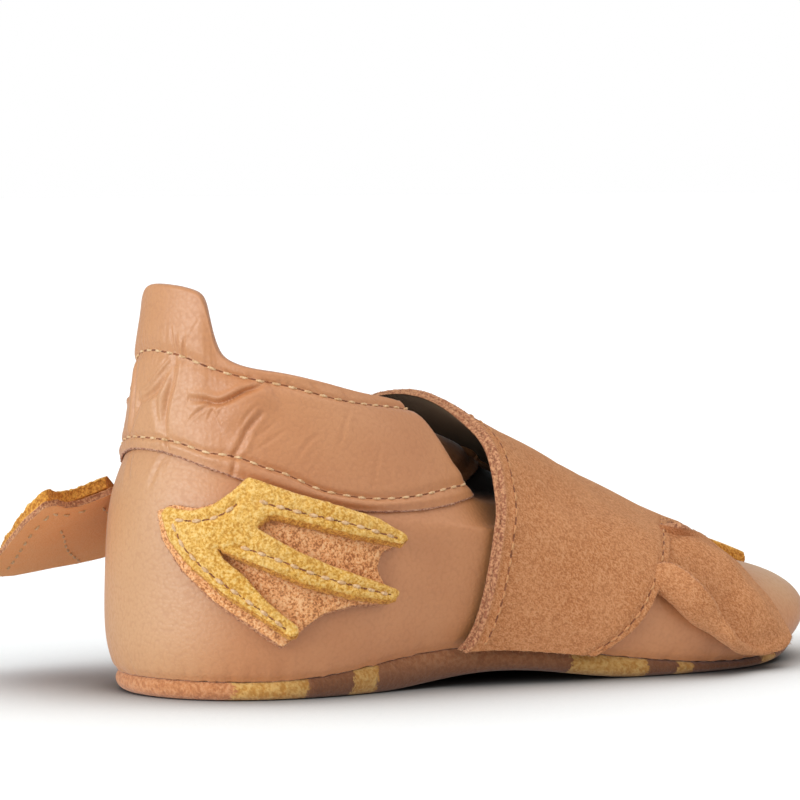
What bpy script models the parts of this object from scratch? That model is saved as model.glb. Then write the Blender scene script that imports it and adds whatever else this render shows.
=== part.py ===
"""Soft-sole baby shoe for the left foot, standing empty: every leather piece is a closed solid of its own.

Sizes are millimetres on the shoe's own stations: x runs from the heel back to the toe, y to the left
(the outer side of the foot), z up from the floor. The finished pieces are set in metres about the
bottom centre of the whole shoe's box.
"""
import bmesh
import bpy
import math
import numpy as np

MM = 0.001
GAP = 0.3                 # air between neighbouring pieces
LEATHER = 1.2             # wall of the upper
BAND_LEATHER = 1.1        # collar band
STRAP_LEATHER = 2.0       # instep strap, two layers sewn together
SUEDE = 1.2               # wings and toe flap
SOLE_SUEDE = 1.4
INSOLE_FELT = 1.4

TURNS = 72                # points round the shoe
SEAM_MEAN = 4.2           # mean height of the seam between sole and upper
SWING = 3.0               # toe swung toward the inner side
SWING_FROM = 45.0
WAIST_X = 47.5
WAIST_LENGTH = 17.0
WAIST_NEAR = 2.0          # how far the inner side is drawn in at the waist
WAIST_FAR = 0.6
ARCH_RISE = 2.0
ARCH_FROM = 34.0
ARCH_TO = 82.0
SPRING_RISE = 3.4
SPRING_FROM = 104.0
SPRING_LENGTH = 28.0
TAB_RISE = 10.8           # heel tab above the collar
TAB_HALF_WIDTH = 8.9
TAB_SQUARENESS = 10
TAB_LEAN = 1.6            # how far the tab's top leans over the foot

# Rings of the upper's outer face, one row a level, from the sole seam up to the collar.
# back, front: where the ring starts and ends in x; heel_r, nose_r: its end radii;
# w20, w45, w70: half widths at those percents of its length; z_back, z_side, z_front: its heights;
# follow: how much of the seam's own wave it takes.
RING_COLUMNS = ("back", "front", "heel_r", "w20", "w45", "w70", "nose_r",
                "z_back", "z_side", "z_front", "follow")
UPPER_RINGS = (
    (1.4, 128.0, 20.0, 21.5, 24.0, 29.0, 25.0, 4.2, 4.2, 4.2, 1.0),      # seam
    (0.0, 130.6, 22.5, 23.4, 26.2, 30.6, 26.0, 10.0, 10.0, 8.4, 1.0),    # widest
    (0.0, 125.0, 22.5, 23.4, 26.6, 29.0, 22.0, 20.0, 18.0, 14.2, 0.6),   # low quarter
    (0.6, 110.6, 21.5, 22.4, 25.8, 25.2, 17.0, 30.0, 25.0, 19.0, 0.2),   # mid quarter
    (3.0, 94.8, 19.0, 20.2, 23.8, 20.7, 13.0, 38.0, 28.6, 24.6, 0.0),    # under the collar band
    (5.9, 77.4, 16.5, 18.0, 20.6, 16.7, 11.0, 46.0, 39.0, 31.0, 0.0),    # collar
    (6.6, 61.0, 15.5, 16.3, 17.8, 15.2, 10.0, 54.0, 47.0, 37.5, 0.0),    # rim
)
# Rings of the strap's inner face: it lies on the vamp and stands away from the collar behind.
STRAP_RINGS = UPPER_RINGS[:3] + (
    (0.6, 111.6, 21.5, 22.4, 26.0, 25.6, 17.0, 30.0, 26.0, 19.2, 0.2),
    (2.8, 96.4, 19.0, 21.0, 25.0, 23.2, 14.0, 38.0, 31.0, 24.7, 0.0),
    (4.6, 80.0, 17.0, 20.0, 23.5, 21.0, 13.0, 46.0, 39.5, 32.0, 0.0),
    (5.0, 63.7, 16.0, 18.0, 20.5, 18.0, 14.0, 54.5, 46.0, 39.6, 0.0),
    (5.2, 46.8, 15.0, 15.0, 15.0, 12.0, 10.0, 62.0, 54.0, 48.5, 0.0),
)
# Height of the sole seam along the shoe: x, z.
SEAM = ((-4, 3.6), (22, 3.6), (49, 6.4), (75, 4.4), (94, 2.4), (113, 2.6), (132, 6.0))
# Lower edge of the collar band: turn from the heel back in degrees, ring level.
BAND_EDGE = ((0, 4.15), (30, 3.9), (62, 3.5), (80, 3.9), (97, 4.3), (135, 5.0), (180, 5.3))
# Strap's front edge: place across it (0 on the ridge, 1 at the seam), x.
STRAP_FRONT = ((0.0, 113.0), (0.1, 111.0), (0.25, 101.5), (0.45, 94.0), (0.66, 88.0), (0.78, 84.0),
               (0.9, 79.5), (1.0, 73.5))
STRAP_BACK_SEAM = 44.6    # strap's back edge at the seam and how far it swings forward above it
STRAP_BACK_SWING = 8.8

# Wing leaf laid flat: s along the wall from the heel back, z up the wall.
WEB_OUTLINE = (
    (7.2, 29.6), (8.4, 25.2), (11.4, 21.0), (15.9, 16.2), (21.0, 12.3), (25.0, 9.2), (26.9, 10.5),
    (28.3, 12.0), (31.4, 13.9), (36.2, 15.0), (42.0, 15.0), (43.8, 16.6), (42.0, 17.9), (41.3, 20.4),
    (43.2, 23.0), (46.5, 24.0), (48.6, 25.6), (44.6, 27.9), (37.3, 29.3), (31.0, 30.8), (25.3, 32.5),
    (22.3, 33.4), (20.3, 32.2), (17.1, 30.9), (13.9, 30.1), (10.1, 30.6),
)
RIB_OUTLINE = (
    (8.2, 29.4), (9.6, 25.6), (12.4, 21.8), (16.7, 17.2), (21.7, 13.4), (25.4, 10.3), (26.6, 11.0),
    (26.9, 12.3), (24.9, 14.0), (22.6, 16.7), (20.4, 20.1), (17.9, 22.7), (17.1, 24.5), (18.7, 23.6),
    (23.8, 21.2), (28.8, 18.7), (35.5, 16.6), (41.8, 15.6), (43.0, 16.3), (43.2, 17.2), (38.8, 19.0),
    (33.3, 21.2), (27.9, 24.0), (25.3, 25.7), (23.0, 27.3), (24.6, 28.7), (26.0, 29.0), (30.9, 27.8),
    (38.9, 25.8), (46.3, 24.4), (47.9, 25.2), (47.8, 25.9), (44.2, 27.6), (37.3, 29.0), (31.0, 30.5),
    (25.3, 32.2), (22.3, 33.0), (20.3, 31.8), (17.1, 30.4), (13.9, 29.6), (10.1, 30.1),
)
WING_CUT = 4.7            # the leaf is cut this fine before it is bent round the wall
WALL_LEVEL = 2.5          # ring level along which s is measured
# The far wing stands open: its root's rear end, heading, fall and lean from upright.
FAR_ROOT = (3.6, 12.5, 30.4)
FAR_HEADING = 27.6
FAR_FALL = 6.7
FAR_LEAN = 50.0
FAR_CURL = 0.006          # outward curl of the leaf, per millimetre squared
ROOT_S = 22.3
ROOT_Z = 33.4

# Toe flap, one row a section from its root to its tip: the far rim, the belly over the leather,
# the low fold and the near rim.
FLAP_SECTIONS = (
    ((94.8, -21.7, 22.9), (90.5, -29.2, 19.9), (85.7, -33.0, 13.8), (87.6, -34.0, 18.2)),
    ((104.2, -17.0, 22.4), (99.6, -28.9, 17.9), (91.5, -34.4, 8.6), (90.6, -36.8, 13.6)),
    ((107.4, -26.7, 16.1), (103.1, -32.2, 11.2), (97.0, -33.9, 5.2), (94.8, -36.1, 8.4)),
    ((112.0, -29.8, 8.6), (107.5, -31.8, 6.0), (102.5, -32.8, 3.4), (100.2, -33.8, 4.6)),
    ((112.3, -30.6, 5.2), (110.3, -31.5, 3.9), (107.8, -32.0, 3.1), (105.0, -32.5, 3.0)),
)
FLAP_PLACES = (0.0, 0.42, 0.75, 1.0)

# Toe horn: a stub of thick suede on the vamp's ridge in front of the strap.
HORN_FROM = 114.2
HORN_TO = 122.2
HORN_BASE = 18.7          # underside at its root and at its free end
HORN_END = 15.8
HORN_HALF_WIDTH = 4.4
HORN_THICK = 2.0
HORN_ROUND = 20.0         # radius it is bent to across

LEATHER_TAN = (0.62, 0.36, 0.20)
SUEDE_TAN = (0.50, 0.24, 0.10)
SUEDE_YELLOW = (0.72, 0.42, 0.07)
SOLE_TAN = (0.48, 0.24, 0.10)
FELT_GREY = (0.42, 0.30, 0.20)


class Spline:
    """Natural cubic spline through values held at fixed knots."""

    def __init__(self, knots):
        self.knots = np.asarray(knots, float)
        count = len(self.knots)
        steps = np.diff(self.knots)
        left = np.eye(count)
        right = np.zeros((count, count))
        for i in range(1, count - 1):
            left[i, i - 1:i + 2] = steps[i - 1], 2 * (steps[i - 1] + steps[i]), steps[i]
            right[i, i - 1:i + 2] = 6 / steps[i - 1], -6 / steps[i - 1] - 6 / steps[i], 6 / steps[i]
        self.bends = np.linalg.solve(left, right)

    def weights(self, place):
        """Share of each knot's value at the given places."""
        place = np.asarray(place, float)
        i = np.clip(np.searchsorted(self.knots, place) - 1, 0, len(self.knots) - 2)
        step = self.knots[i + 1] - self.knots[i]
        a = (self.knots[i + 1] - place) / step
        b = 1 - a
        unit = np.eye(len(self.knots))
        share = a[..., None] * unit[i] + b[..., None] * unit[i + 1]
        share = share + ((a ** 3 - a) * step ** 2 / 6)[..., None] * self.bends[i]
        return share + ((b ** 3 - b) * step ** 2 / 6)[..., None] * self.bends[i + 1]

    def at(self, place, values):
        return self.weights(place) @ np.asarray(values, float)


ACROSS = Spline((0.0, 0.2, 0.45, 0.7, 1.0))
LENGTHWISE = Spline((0.0, 0.45, 1.0))
SEAM_LINE = Spline([x for x, z in SEAM])
BAND_LINE = Spline([turn for turn, level in BAND_EDGE])
STRAP_LINE = Spline([place for place, x in STRAP_FRONT])


def seam_height(x):
    return SEAM_LINE.at(x, [z for at, z in SEAM])


def floor_height(x):
    """Underside of the sole: flat at heel and ball, raised at the arch and the toe."""
    arch = np.sin(math.pi * np.clip((x - ARCH_FROM) / (ARCH_TO - ARCH_FROM), 0, 1)) ** 2
    spring = np.clip((x - SPRING_FROM) / SPRING_LENGTH, 0, None) ** 2
    return ARCH_RISE * arch + SPRING_RISE * spring


class Form:
    """A last-like surface through a stack of rings."""

    def __init__(self, rings):
        self.rings = np.array(rings, float)
        self.levels = Spline(np.arange(len(rings)))

    def columns(self, level):
        return dict(zip(RING_COLUMNS, np.moveaxis(self.levels.weights(level) @ self.rings, -1, 0)))

    def place(self, along, row, side):
        """Point at a share of the ring's length, on the near (-1) or far (+1) side."""
        length = row["front"] - row["back"]
        half = length / 2
        widths = np.stack([np.sqrt(row["heel_r"] * half), row["w20"] / 0.8, row["w45"] / 0.995,
                           row["w70"] / 0.9165, np.sqrt(row["nose_r"] * half)], -1)
        round_end = 2 * np.sqrt(along * (1 - along))
        width = (ACROSS.weights(along) * widths).sum(-1) * round_end
        x = row["back"] + length * along
        waist = np.where(side < 0, WAIST_NEAR, WAIST_FAR) * np.exp(-((x - WAIST_X) / WAIST_LENGTH) ** 2)
        width = np.maximum(width - waist * np.clip(row["follow"], 0, 1), 0)
        y = side * width - SWING * (np.maximum(x - SWING_FROM, 0) / 80) ** 2
        heights = np.stack([row["z_back"], row["z_side"], row["z_front"]], -1)
        z = (LENGTHWISE.weights(along) * heights).sum(-1) + row["follow"] * (seam_height(x) - SEAM_MEAN)
        return np.stack([x, y, z], -1)

    def ring(self, turn, level):
        """Point at a turn round the shoe (0 heel back, pi toe, near side first) and a ring level."""
        turn, level = np.broadcast_arrays(np.asarray(turn, float), np.asarray(level, float))
        point = self.place((1 - np.cos(turn)) / 2, self.columns(level), np.where(np.sin(turn) >= 0, -1.0, 1.0))
        tab = np.clip(3 * np.cos(turn), 0, 1) / (1 + (np.abs(point[..., 1]) / TAB_HALF_WIDTH) ** TAB_SQUARENESS)
        share = (np.clip(level - 4.4, 0, None) / 1.6) ** 1.5
        point[..., 0] += TAB_LEAN * tab * share ** 2
        point[..., 2] += TAB_RISE * tab * share
        return point

    def ring_normal(self, turn, level, step=1e-3):
        across = self.ring(turn + step, level) - self.ring(turn - step, level)
        up = self.ring(turn, level + step) - self.ring(turn, level - step)
        return unit(np.cross(across, up))

    def ridge_level(self, x):
        levels = np.linspace(0.8, len(self.rings) - 1, 600)
        return np.interp(-x, -self.columns(levels)["front"], levels)

    def section(self, x, across):
        """Point at station x, across from the near seam (-1) over the ridge (0) to the far seam (1)."""
        x, across = np.broadcast_arrays(np.asarray(x, float), np.asarray(across, float))
        row = self.columns(self.ridge_level(x) * (1 - across ** 2))
        along = np.clip((x - row["back"]) / (row["front"] - row["back"]), 0, 1)
        return self.place(along, row, np.where(across < 0, -1.0, 1.0))


def unit(vectors):
    return vectors / np.linalg.norm(vectors, axis=-1, keepdims=True)


UPPER = Form(UPPER_RINGS)
STRAP = Form(STRAP_RINGS)
TURN = np.arange(TURNS) * 2 * math.pi / TURNS


def grid_faces(rows, columns, closed):
    """Quads of a grid held row by row; a closed grid joins its last row to its first."""
    faces = []
    for i in range(rows if closed else rows - 1):
        j = (i + 1) % rows
        for k in range(columns - 1):
            faces.append((i * columns + k, j * columns + k, j * columns + k + 1, i * columns + k + 1))
    return faces


def thicken(faces, outer, inner):
    """Closed solid between an outer and an inner copy of one sheet."""
    outer = outer.reshape(-1, 3)
    inner = inner.reshape(-1, 3)
    count = len(outer)
    edges = {(face[i], face[(i + 1) % len(face)]) for face in faces for i in range(len(face))}
    sides = [(b, a, a + count, b + count) for a, b in sorted(edges) if (b, a) not in edges]
    backs = [tuple(v + count for v in reversed(face)) for face in faces]
    return np.concatenate([outer, inner]), list(faces) + backs + sides


def crosswise(first, count):
    """Faces that close a ring of points by joining each near point to the far one opposite."""
    faces = []
    for i in range(count // 2):
        a, b = i, i + 1
        c, d = (count - b) % count, (count - a) % count
        corners = []
        for v in (a, b, c, d):
            if first + v not in corners:
                corners.append(first + v)
        faces.append(tuple(corners))
    return faces


def stacked(rings):
    """Closed solid from rings of points: walls between them, the first and the last closed crosswise."""
    count = len(rings[0])
    faces = crosswise(0, count)
    for k in range(len(rings) - 1):
        for i in range(count):
            j = (i + 1) % count
            faces.append((k * count + i, (k + 1) * count + i, (k + 1) * count + j, k * count + j))
    faces += [tuple(reversed(face)) for face in crosswise((len(rings) - 1) * count, count)]
    return np.concatenate(rings), faces


def inset_ring(inset, heights):
    """Ring round the sole, drawn in from the seam by a distance, at heights given by x."""
    point = UPPER.ring(TURN, 0.0)
    ahead = UPPER.ring(TURN + 1e-3, 0.0) - UPPER.ring(TURN - 1e-3, 0.0)
    inward = unit(np.stack([ahead[:, 1], -ahead[:, 0], 0 * TURN], -1))
    inward *= np.sign((inward[:, :2] * ([62.0, -1.0] - point[:, :2])).sum(-1))[:, None]
    moved = point + inset * inward
    moved[:, 2] = heights(point[:, 0])
    return moved


def make_sole():
    """Suede tray: flat under heel and ball, turned up to the seam all round."""
    def share(part, lift=0.0):
        return lambda x: floor_height(x) + lift + part * (seam_height(x) - GAP - floor_height(x) - lift)
    rings = [inset_ring(4.6, share(0, SOLE_SUEDE)), inset_ring(2.6, share(0.15, SOLE_SUEDE)),
             inset_ring(1.9, share(0.55, SOLE_SUEDE)), inset_ring(1.6, share(1.0)),
             inset_ring(0.4, share(1.0)), inset_ring(0.1, share(0.7)), inset_ring(0.3, share(0.35)),
             inset_ring(1.0, share(0.1)), inset_ring(2.2, share(0.0))]
    return stacked(rings)


def make_insole():
    """Felt sheet on the sole's floor."""
    low = SOLE_SUEDE + GAP
    heights = (low + INSOLE_FELT, low + 0.7 * INSOLE_FELT, low)
    rings = [inset_ring(inset, lambda x, h=h: floor_height(x) + h)
             for inset, h in zip((3.7, 3.3, 3.9), heights)]
    return stacked(rings)


def shell(form, turns, levels, low, high):
    """Sheet of a form between two distances out from it; levels holds a row a turn."""
    turn = np.broadcast_to(turns[:, None], levels.shape)
    point = form.ring(turn, levels)
    out = form.ring_normal(turn, levels)
    faces = grid_faces(levels.shape[0], levels.shape[1], True)
    return thicken(faces, point + high * out, point + low * out)


def make_upper():
    """Vamp, quarters and heel tab as one wall, open at the collar and underneath."""
    rows = np.array((0.0, 0.3, 0.7, 1.1, 1.6, 2.1, 2.6, 3.1, 3.6, 4.2, 4.8, 5.3, 5.65, 6.0))
    return shell(UPPER, TURN, np.tile(rows, (TURNS, 1)), -LEATHER, 0.0)


def band_level(turn):
    degrees = np.degrees(np.minimum(turn, 2 * math.pi - turn))
    return BAND_LINE.at(degrees, [level for at, level in BAND_EDGE])


def make_band():
    """Collar band and tab facing, right round outside the wall."""
    share = np.array((0.0, 0.3, 0.6, 0.82, 1.0))
    low = band_level(TURN)[:, None]
    return shell(UPPER, TURN, low + (6.0 - low) * share, GAP, GAP + BAND_LEATHER)


def make_strap():
    """Saddle over the instep, sewn down at the seam on both sides."""
    half = 1 - np.linspace(0, 1, 21) ** 1.7 * 0.985
    across = np.concatenate([-0.993 * half / half[0], 0.993 * half[-2::-1] / half[0]])
    across[20] = 0.0
    reach = np.sqrt(across ** 2 + 0.05 ** 2) - 0.05 * (1 - across ** 2)
    front = STRAP_LINE.at(np.clip(np.abs(reach), 0, 1), [x for at, x in STRAP_FRONT])
    back = STRAP_BACK_SEAM + STRAP_BACK_SWING * (1 - across ** 2) ** 0.2
    share = np.linspace(0, 1, 11)
    x = back[:, None] + (front - back)[:, None] * share
    wide = np.broadcast_to(across[:, None], x.shape)
    step = 2e-3
    lengthwise = STRAP.section(x + 0.05, wide) - STRAP.section(x - 0.05, wide)
    sideways = STRAP.section(x, wide + step) - STRAP.section(x, wide - step)
    out = unit(np.cross(lengthwise, sideways))
    point = STRAP.section(x, wide)
    low = GAP + 0.05
    faces = grid_faces(len(across), len(share), False)
    return thicken([tuple(reversed(face)) for face in faces], point + (low + STRAP_LEATHER) * out, point + low * out)


def make_flap():
    """Curled suede petal on the inner side of the toe."""
    lengthwise = np.linspace(0, 1, 15)
    around = np.linspace(0, 1, 13)
    table = np.array(FLAP_SECTIONS)
    along = Spline(np.linspace(0, 1, len(table))).weights(lengthwise)
    over = Spline(FLAP_PLACES).weights(around)
    point = np.einsum("ia,jb,abk->ijk", along, over, table)
    out = unit(np.cross(np.gradient(point, axis=0), np.gradient(point, axis=1)))
    faces = grid_faces(len(lengthwise), len(around), False)
    return thicken(faces, point + out * SUEDE / 2, point - out * SUEDE / 2)


def make_horn():
    """Thick stub lying forward on the toe, bent a little across."""
    share = np.linspace(0, 1, 7)
    across = np.linspace(-1, 1, 7) * HORN_HALF_WIDTH
    x = HORN_FROM + (HORN_TO - HORN_FROM) * share[:, None] + 0 * across
    swing = -SWING * ((x - SWING_FROM) / 80) ** 2
    z = HORN_BASE + (HORN_END - HORN_BASE) * share[:, None] - across ** 2 / (2 * HORN_ROUND)
    low = np.stack([x, swing + across, z], -1)
    faces = grid_faces(len(share), len(across), False)
    return thicken(faces, low + [0, 0, HORN_THICK], low)


def leaf_mesh(outline):
    """Flat leaf from its outline, cut fine enough to bend: points and faces."""
    mesh = bmesh.new()
    corners = [mesh.verts.new((s, z, 0)) for s, z in outline]
    mesh.faces.new(corners)
    mesh.normal_update()
    bmesh.ops.triangulate(mesh, faces=mesh.faces[:])
    cuts = [((s, 0, 0), (1, 0, 0)) for s in np.arange(9.25, 50, WING_CUT)]
    cuts += [((0, z, 0), (0, 1, 0)) for z in np.arange(11.35, 34, WING_CUT)]
    for place, across in cuts:
        geometry = mesh.verts[:] + mesh.edges[:] + mesh.faces[:]
        bmesh.ops.bisect_plane(mesh, geom=geometry, plane_co=place, plane_no=across, dist=1e-4)
    bmesh.ops.triangulate(mesh, faces=mesh.faces[:])
    mesh.verts.index_update()
    points = np.array([vert.co[:2] for vert in mesh.verts])
    faces = [tuple(vert.index for vert in face.verts) for face in mesh.faces]
    mesh.free()
    return points, faces


def on_near_wall(leaf):
    """Points of a flat leaf laid on the near quarter, and the wall's normals there."""
    turns = np.linspace(0, math.pi, 721)
    line = UPPER.ring(turns, WALL_LEVEL)
    length = np.concatenate([[0], np.cumsum(np.linalg.norm(np.diff(line, axis=0), axis=1))])
    turn = np.interp(leaf[:, 0], length, turns)
    low = np.zeros(len(leaf))
    high = np.full(len(leaf), 5.0)
    for _ in range(30):
        middle = (low + high) / 2
        below = UPPER.ring(turn, middle)[:, 2] < leaf[:, 1]
        low = np.where(below, middle, low)
        high = np.where(below, high, middle)
    return UPPER.ring(turn, low), UPPER.ring_normal(turn, low)


def on_far_leaf(leaf):
    """Points of a flat leaf held open on the far side, and its outward normals."""
    heading, fall, lean = (math.radians(a) for a in (FAR_HEADING, -FAR_FALL, FAR_LEAN))
    along = np.array([math.cos(heading) * math.cos(fall), math.sin(heading) * math.cos(fall), math.sin(fall)])
    level = np.array([-math.sin(heading), math.cos(heading), 0.0])
    upright = np.cross(along, level)
    out = math.cos(lean) * level + math.sin(lean) * upright
    up = math.cos(lean) * upright - math.sin(lean) * level
    drop = ROOT_Z - leaf[:, 1]
    point = np.array(FAR_ROOT) + (leaf[:, :1] - ROOT_S) * along - drop[:, None] * up
    point = point + (FAR_CURL * np.maximum(drop, 0) ** 2)[:, None] * out
    return point, np.broadcast_to(out, point.shape)


def make_leaf(outline, lay, low):
    points, faces = leaf_mesh(outline)
    base, out = lay(points)
    return thicken(faces, base + (low + SUEDE) * out, base + low * out)


def volume(points, faces):
    total = 0.0
    for face in faces:
        for i in range(1, len(face) - 1):
            a, b, c = points[face[0]], points[face[i]], points[face[i + 1]]
            total += float(np.dot(a, np.cross(b, c)))
    return total


def make_object(name, points, faces, colour, roughness, shift):
    """Mesh object in metres with faces outward and a material of its own."""
    if volume(points, faces) < 0:
        faces = [tuple(reversed(face)) for face in faces]
    mesh = bpy.data.meshes.new(name)
    mesh.from_pydata(((points - shift) * MM).tolist(), [], faces)
    mesh.update()
    material = bpy.data.materials.new(name + "_material")
    material.use_nodes = True
    shader = material.node_tree.nodes["Principled BSDF"]
    shader.inputs["Base Color"].default_value = (*colour, 1.0)
    shader.inputs["Roughness"].default_value = roughness
    shader.inputs["Metallic"].default_value = 0.0
    mesh.materials.append(material)
    made = bpy.data.objects.new(name, mesh)
    bpy.context.scene.collection.objects.link(made)
    return made


def main():
    for old in list(bpy.data.objects):
        bpy.data.objects.remove(old)
    rib_low = 2 * GAP + SUEDE
    pieces = (
        ("sole", make_sole(), SOLE_TAN, 0.9),
        ("insole", make_insole(), FELT_GREY, 0.95),
        ("upper", make_upper(), LEATHER_TAN, 0.5),
        ("collar_band", make_band(), LEATHER_TAN, 0.5),
        ("instep_strap", make_strap(), SUEDE_TAN, 0.9),
        ("toe_flap", make_flap(), SUEDE_TAN, 0.9),
        ("toe_horn", make_horn(), SUEDE_YELLOW, 0.9),
        ("wing_membrane_near", make_leaf(WEB_OUTLINE, on_near_wall, GAP), SUEDE_TAN, 0.9),
        ("wing_ribs_near", make_leaf(RIB_OUTLINE, on_near_wall, rib_low), SUEDE_YELLOW, 0.9),
        ("wing_membrane_far", make_leaf(WEB_OUTLINE, on_far_leaf, GAP), SUEDE_TAN, 0.9),
        ("wing_ribs_far", make_leaf(RIB_OUTLINE, on_far_leaf, rib_low), SUEDE_YELLOW, 0.9),
    )
    every = np.concatenate([made[0] for name, made, colour, rough in pieces])
    low = every.min(axis=0)
    high = every.max(axis=0)
    shift = np.array([(low[0] + high[0]) / 2, (low[1] + high[1]) / 2, low[2]])
    for name, made, colour, rough in pieces:
        make_object(name, made[0], made[1], colour, rough, shift)


main()
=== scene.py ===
"""Looks of a soft-sole baby shoe: every leather and suede piece as a fine surface in the CAD's own places.

Sizes are millimetres on the shoe's own stations: x runs from the heel back to the toe, y to the left,
z up from the floor. put_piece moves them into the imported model's frame, in metres.
"""
import math
import bpy
import numpy as np
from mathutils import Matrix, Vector
from mathutils.geometry import delaunay_2d_cdt


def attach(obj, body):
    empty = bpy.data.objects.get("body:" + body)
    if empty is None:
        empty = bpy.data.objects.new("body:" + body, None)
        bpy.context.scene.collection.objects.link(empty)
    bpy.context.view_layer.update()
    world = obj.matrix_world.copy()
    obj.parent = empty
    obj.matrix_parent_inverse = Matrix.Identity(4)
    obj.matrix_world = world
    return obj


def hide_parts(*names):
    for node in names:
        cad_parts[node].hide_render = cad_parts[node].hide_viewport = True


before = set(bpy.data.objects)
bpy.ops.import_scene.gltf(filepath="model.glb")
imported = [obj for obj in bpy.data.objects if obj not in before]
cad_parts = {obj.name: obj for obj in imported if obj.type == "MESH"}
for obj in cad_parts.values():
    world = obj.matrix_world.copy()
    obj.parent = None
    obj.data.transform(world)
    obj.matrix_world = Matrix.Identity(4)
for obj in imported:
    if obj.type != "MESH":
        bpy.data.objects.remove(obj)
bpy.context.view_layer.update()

MM = 0.001
RANDOM = np.random.default_rng(20)   # scatters the loose fibres, alike on each run
FIBRE = 0.045             # half width of a loose fibre
FIBRE_SHORTEST = 0.1
FIBRE_LENGTH = 0.55       # added to the shortest
FIBRE_SCATTER = 0.7       # how far a fibre's direction strays
FIBRE_MARK = 0.72         # how much a fibre counts as raw edge
FRAY = 0.12               # unevenness of a raw edge
HEM_FRAY = 0.13
LATTICE = 97              # squares in the lattice behind the uneven heights
HALVINGS = 26             # steps of a search by halving
STATION_ZERO = np.array((58.995, -0.741, 0.0))   # the frame's origin on the shoe's stations
GAP = 0.3                 # air between neighbouring pieces
LEATHER = 1.2             # wall of the upper
BAND_LEATHER = 1.1        # collar band
STRAP_LEATHER = 2.0       # instep strap, suede and lining sewn together
SUEDE = 1.2               # wings and toe flap
SOLE_SUEDE = 1.4
INSOLE_FELT = 1.4
RIB_LOW = 2 * GAP + SUEDE   # ribs lie on the web
# Points of each surface: round the shoe or along the piece, then up or across it.
UPPER_GRID = (400, 116)
BAND_TURNS = 760
BAND_STEPS = 92
STRAP_STEPS = 90          # on each side of the ridge, and from back to front
FLAP_GRID = (110, 90)
HORN_STEPS = 40
SOLE_TURNS = 360
SOLE_STEPS = 52
CLOSE_COLUMNS = 28        # across a ring that is closed

SEAM_MEAN = 4.2           # height of the sole seam in the table of rings
SWING = 3.0               # toe swung toward the inner side
SWING_FROM = 45.0
WAIST_X = 47.5            # waist: station, length and depth on each side
WAIST_LENGTH = 17.0
WAIST_NEAR = 2.0
WAIST_FAR = 0.6
ARCH_RISE = 2.0           # underside of the sole: arch, then toe spring
ARCH_FROM = 34.0
ARCH_TO = 82.0
SPRING_RISE = 3.4
SPRING_FROM = 104.0
SPRING_LENGTH = 28.0
TAB_RISE = 10.4           # heel tab; a higher square makes a sharper corner
TAB_HALF_WIDTH = 9.1
TAB_SQUARE_NEAR = 18
TAB_SQUARE_FAR = 5
TAB_FOOT = 0.16           # share of the tab's rise that runs out softly at its foot
TAB_FOOT_HALF_WIDTH = 1.35 * TAB_HALF_WIDTH
TAB_FOOT_SQUARE = 5
TAB_LEVEL = 4.4           # ring level where the tab begins
TAB_POWER = 1.5
TAB_BACK = 0.75           # how far the heel's collar leans out
TAB_BACK_LEVEL = 4.5
TAB_TILT = 0.002          # the tab stands higher toward its far side, per millimetre across
TAB_LEAN = 0.8            # how far its top comes in again
RIM = 6.0                 # ring level of the collar's rim
RIM_LIFT = 1.3            # the rim rises beside the strap: height, then turn and spread in degrees
RIM_LIFT_TURN = 103.0
RIM_LIFT_SPREAD = 16.0
RIM_SCOOP = 1.2           # dip of the rim beside the tab
RIM_SCOOP_TURN = 38.0
RIM_SCOOP_SPREAD = 16.0
RIM_GAP = 0.15            # where the band folds over the rim, everything is thinner
RIM_LEATHER = 0.5
RIM_BAND = 0.75
TUCK = 8.0                # the collar's front is drawn in under the strap
TUCK_FAR = 4.0
TUCK_LEVEL = 4.3
TUCK_STEP = 0.2
TUCK_RAMP = 8.0           # degrees of turn until it is drawn in fully
TUCK_KEEP = 8.0           # nothing is drawn in over the middle line
TUCK_TURN = ((4.1, 97.0), (4.5, 96.0), (4.8, 95.5), (5.2, 98.0), (5.8, 103.0), (6.3, 105.0))   # level, turn
SHADE_AFTER = 3.0         # the painted shade there starts a little later, in degrees of turn
SHADE_RAMP = 6.0

# Rings of the upper's outer face, from the sole seam up to the collar.
RING_COLUMNS = ("back", "front", "heel_r", "w20", "w45", "w70", "nose_r",
                "z_back", "z_side", "z_front", "follow")
UPPER_RINGS = (
    (1.4, 128.0, 20.0, 21.5, 24.0, 29.0, 25.0, 4.2, 4.2, 4.2, 1.0),      # seam
    (0.0, 130.6, 22.5, 23.4, 26.2, 30.6, 26.0, 10.0, 10.0, 8.4, 1.0),    # widest
    (0.0, 125.0, 22.5, 23.4, 26.6, 29.0, 22.0, 20.0, 18.0, 14.2, 0.6),   # low quarter
    (0.6, 110.6, 21.5, 22.4, 25.8, 25.2, 17.0, 30.0, 25.0, 19.0, 0.2),   # mid quarter
    (3.0, 94.8, 19.0, 20.2, 23.8, 20.7, 13.0, 38.0, 28.6, 24.6, 0.0),    # under the collar band
    (5.9, 77.4, 16.5, 18.0, 20.6, 16.7, 11.0, 46.0, 39.0, 31.0, 0.0),    # collar
    (6.6, 61.0, 15.5, 16.3, 17.8, 15.2, 10.0, 54.0, 47.0, 37.5, 0.0),    # rim
)
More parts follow.
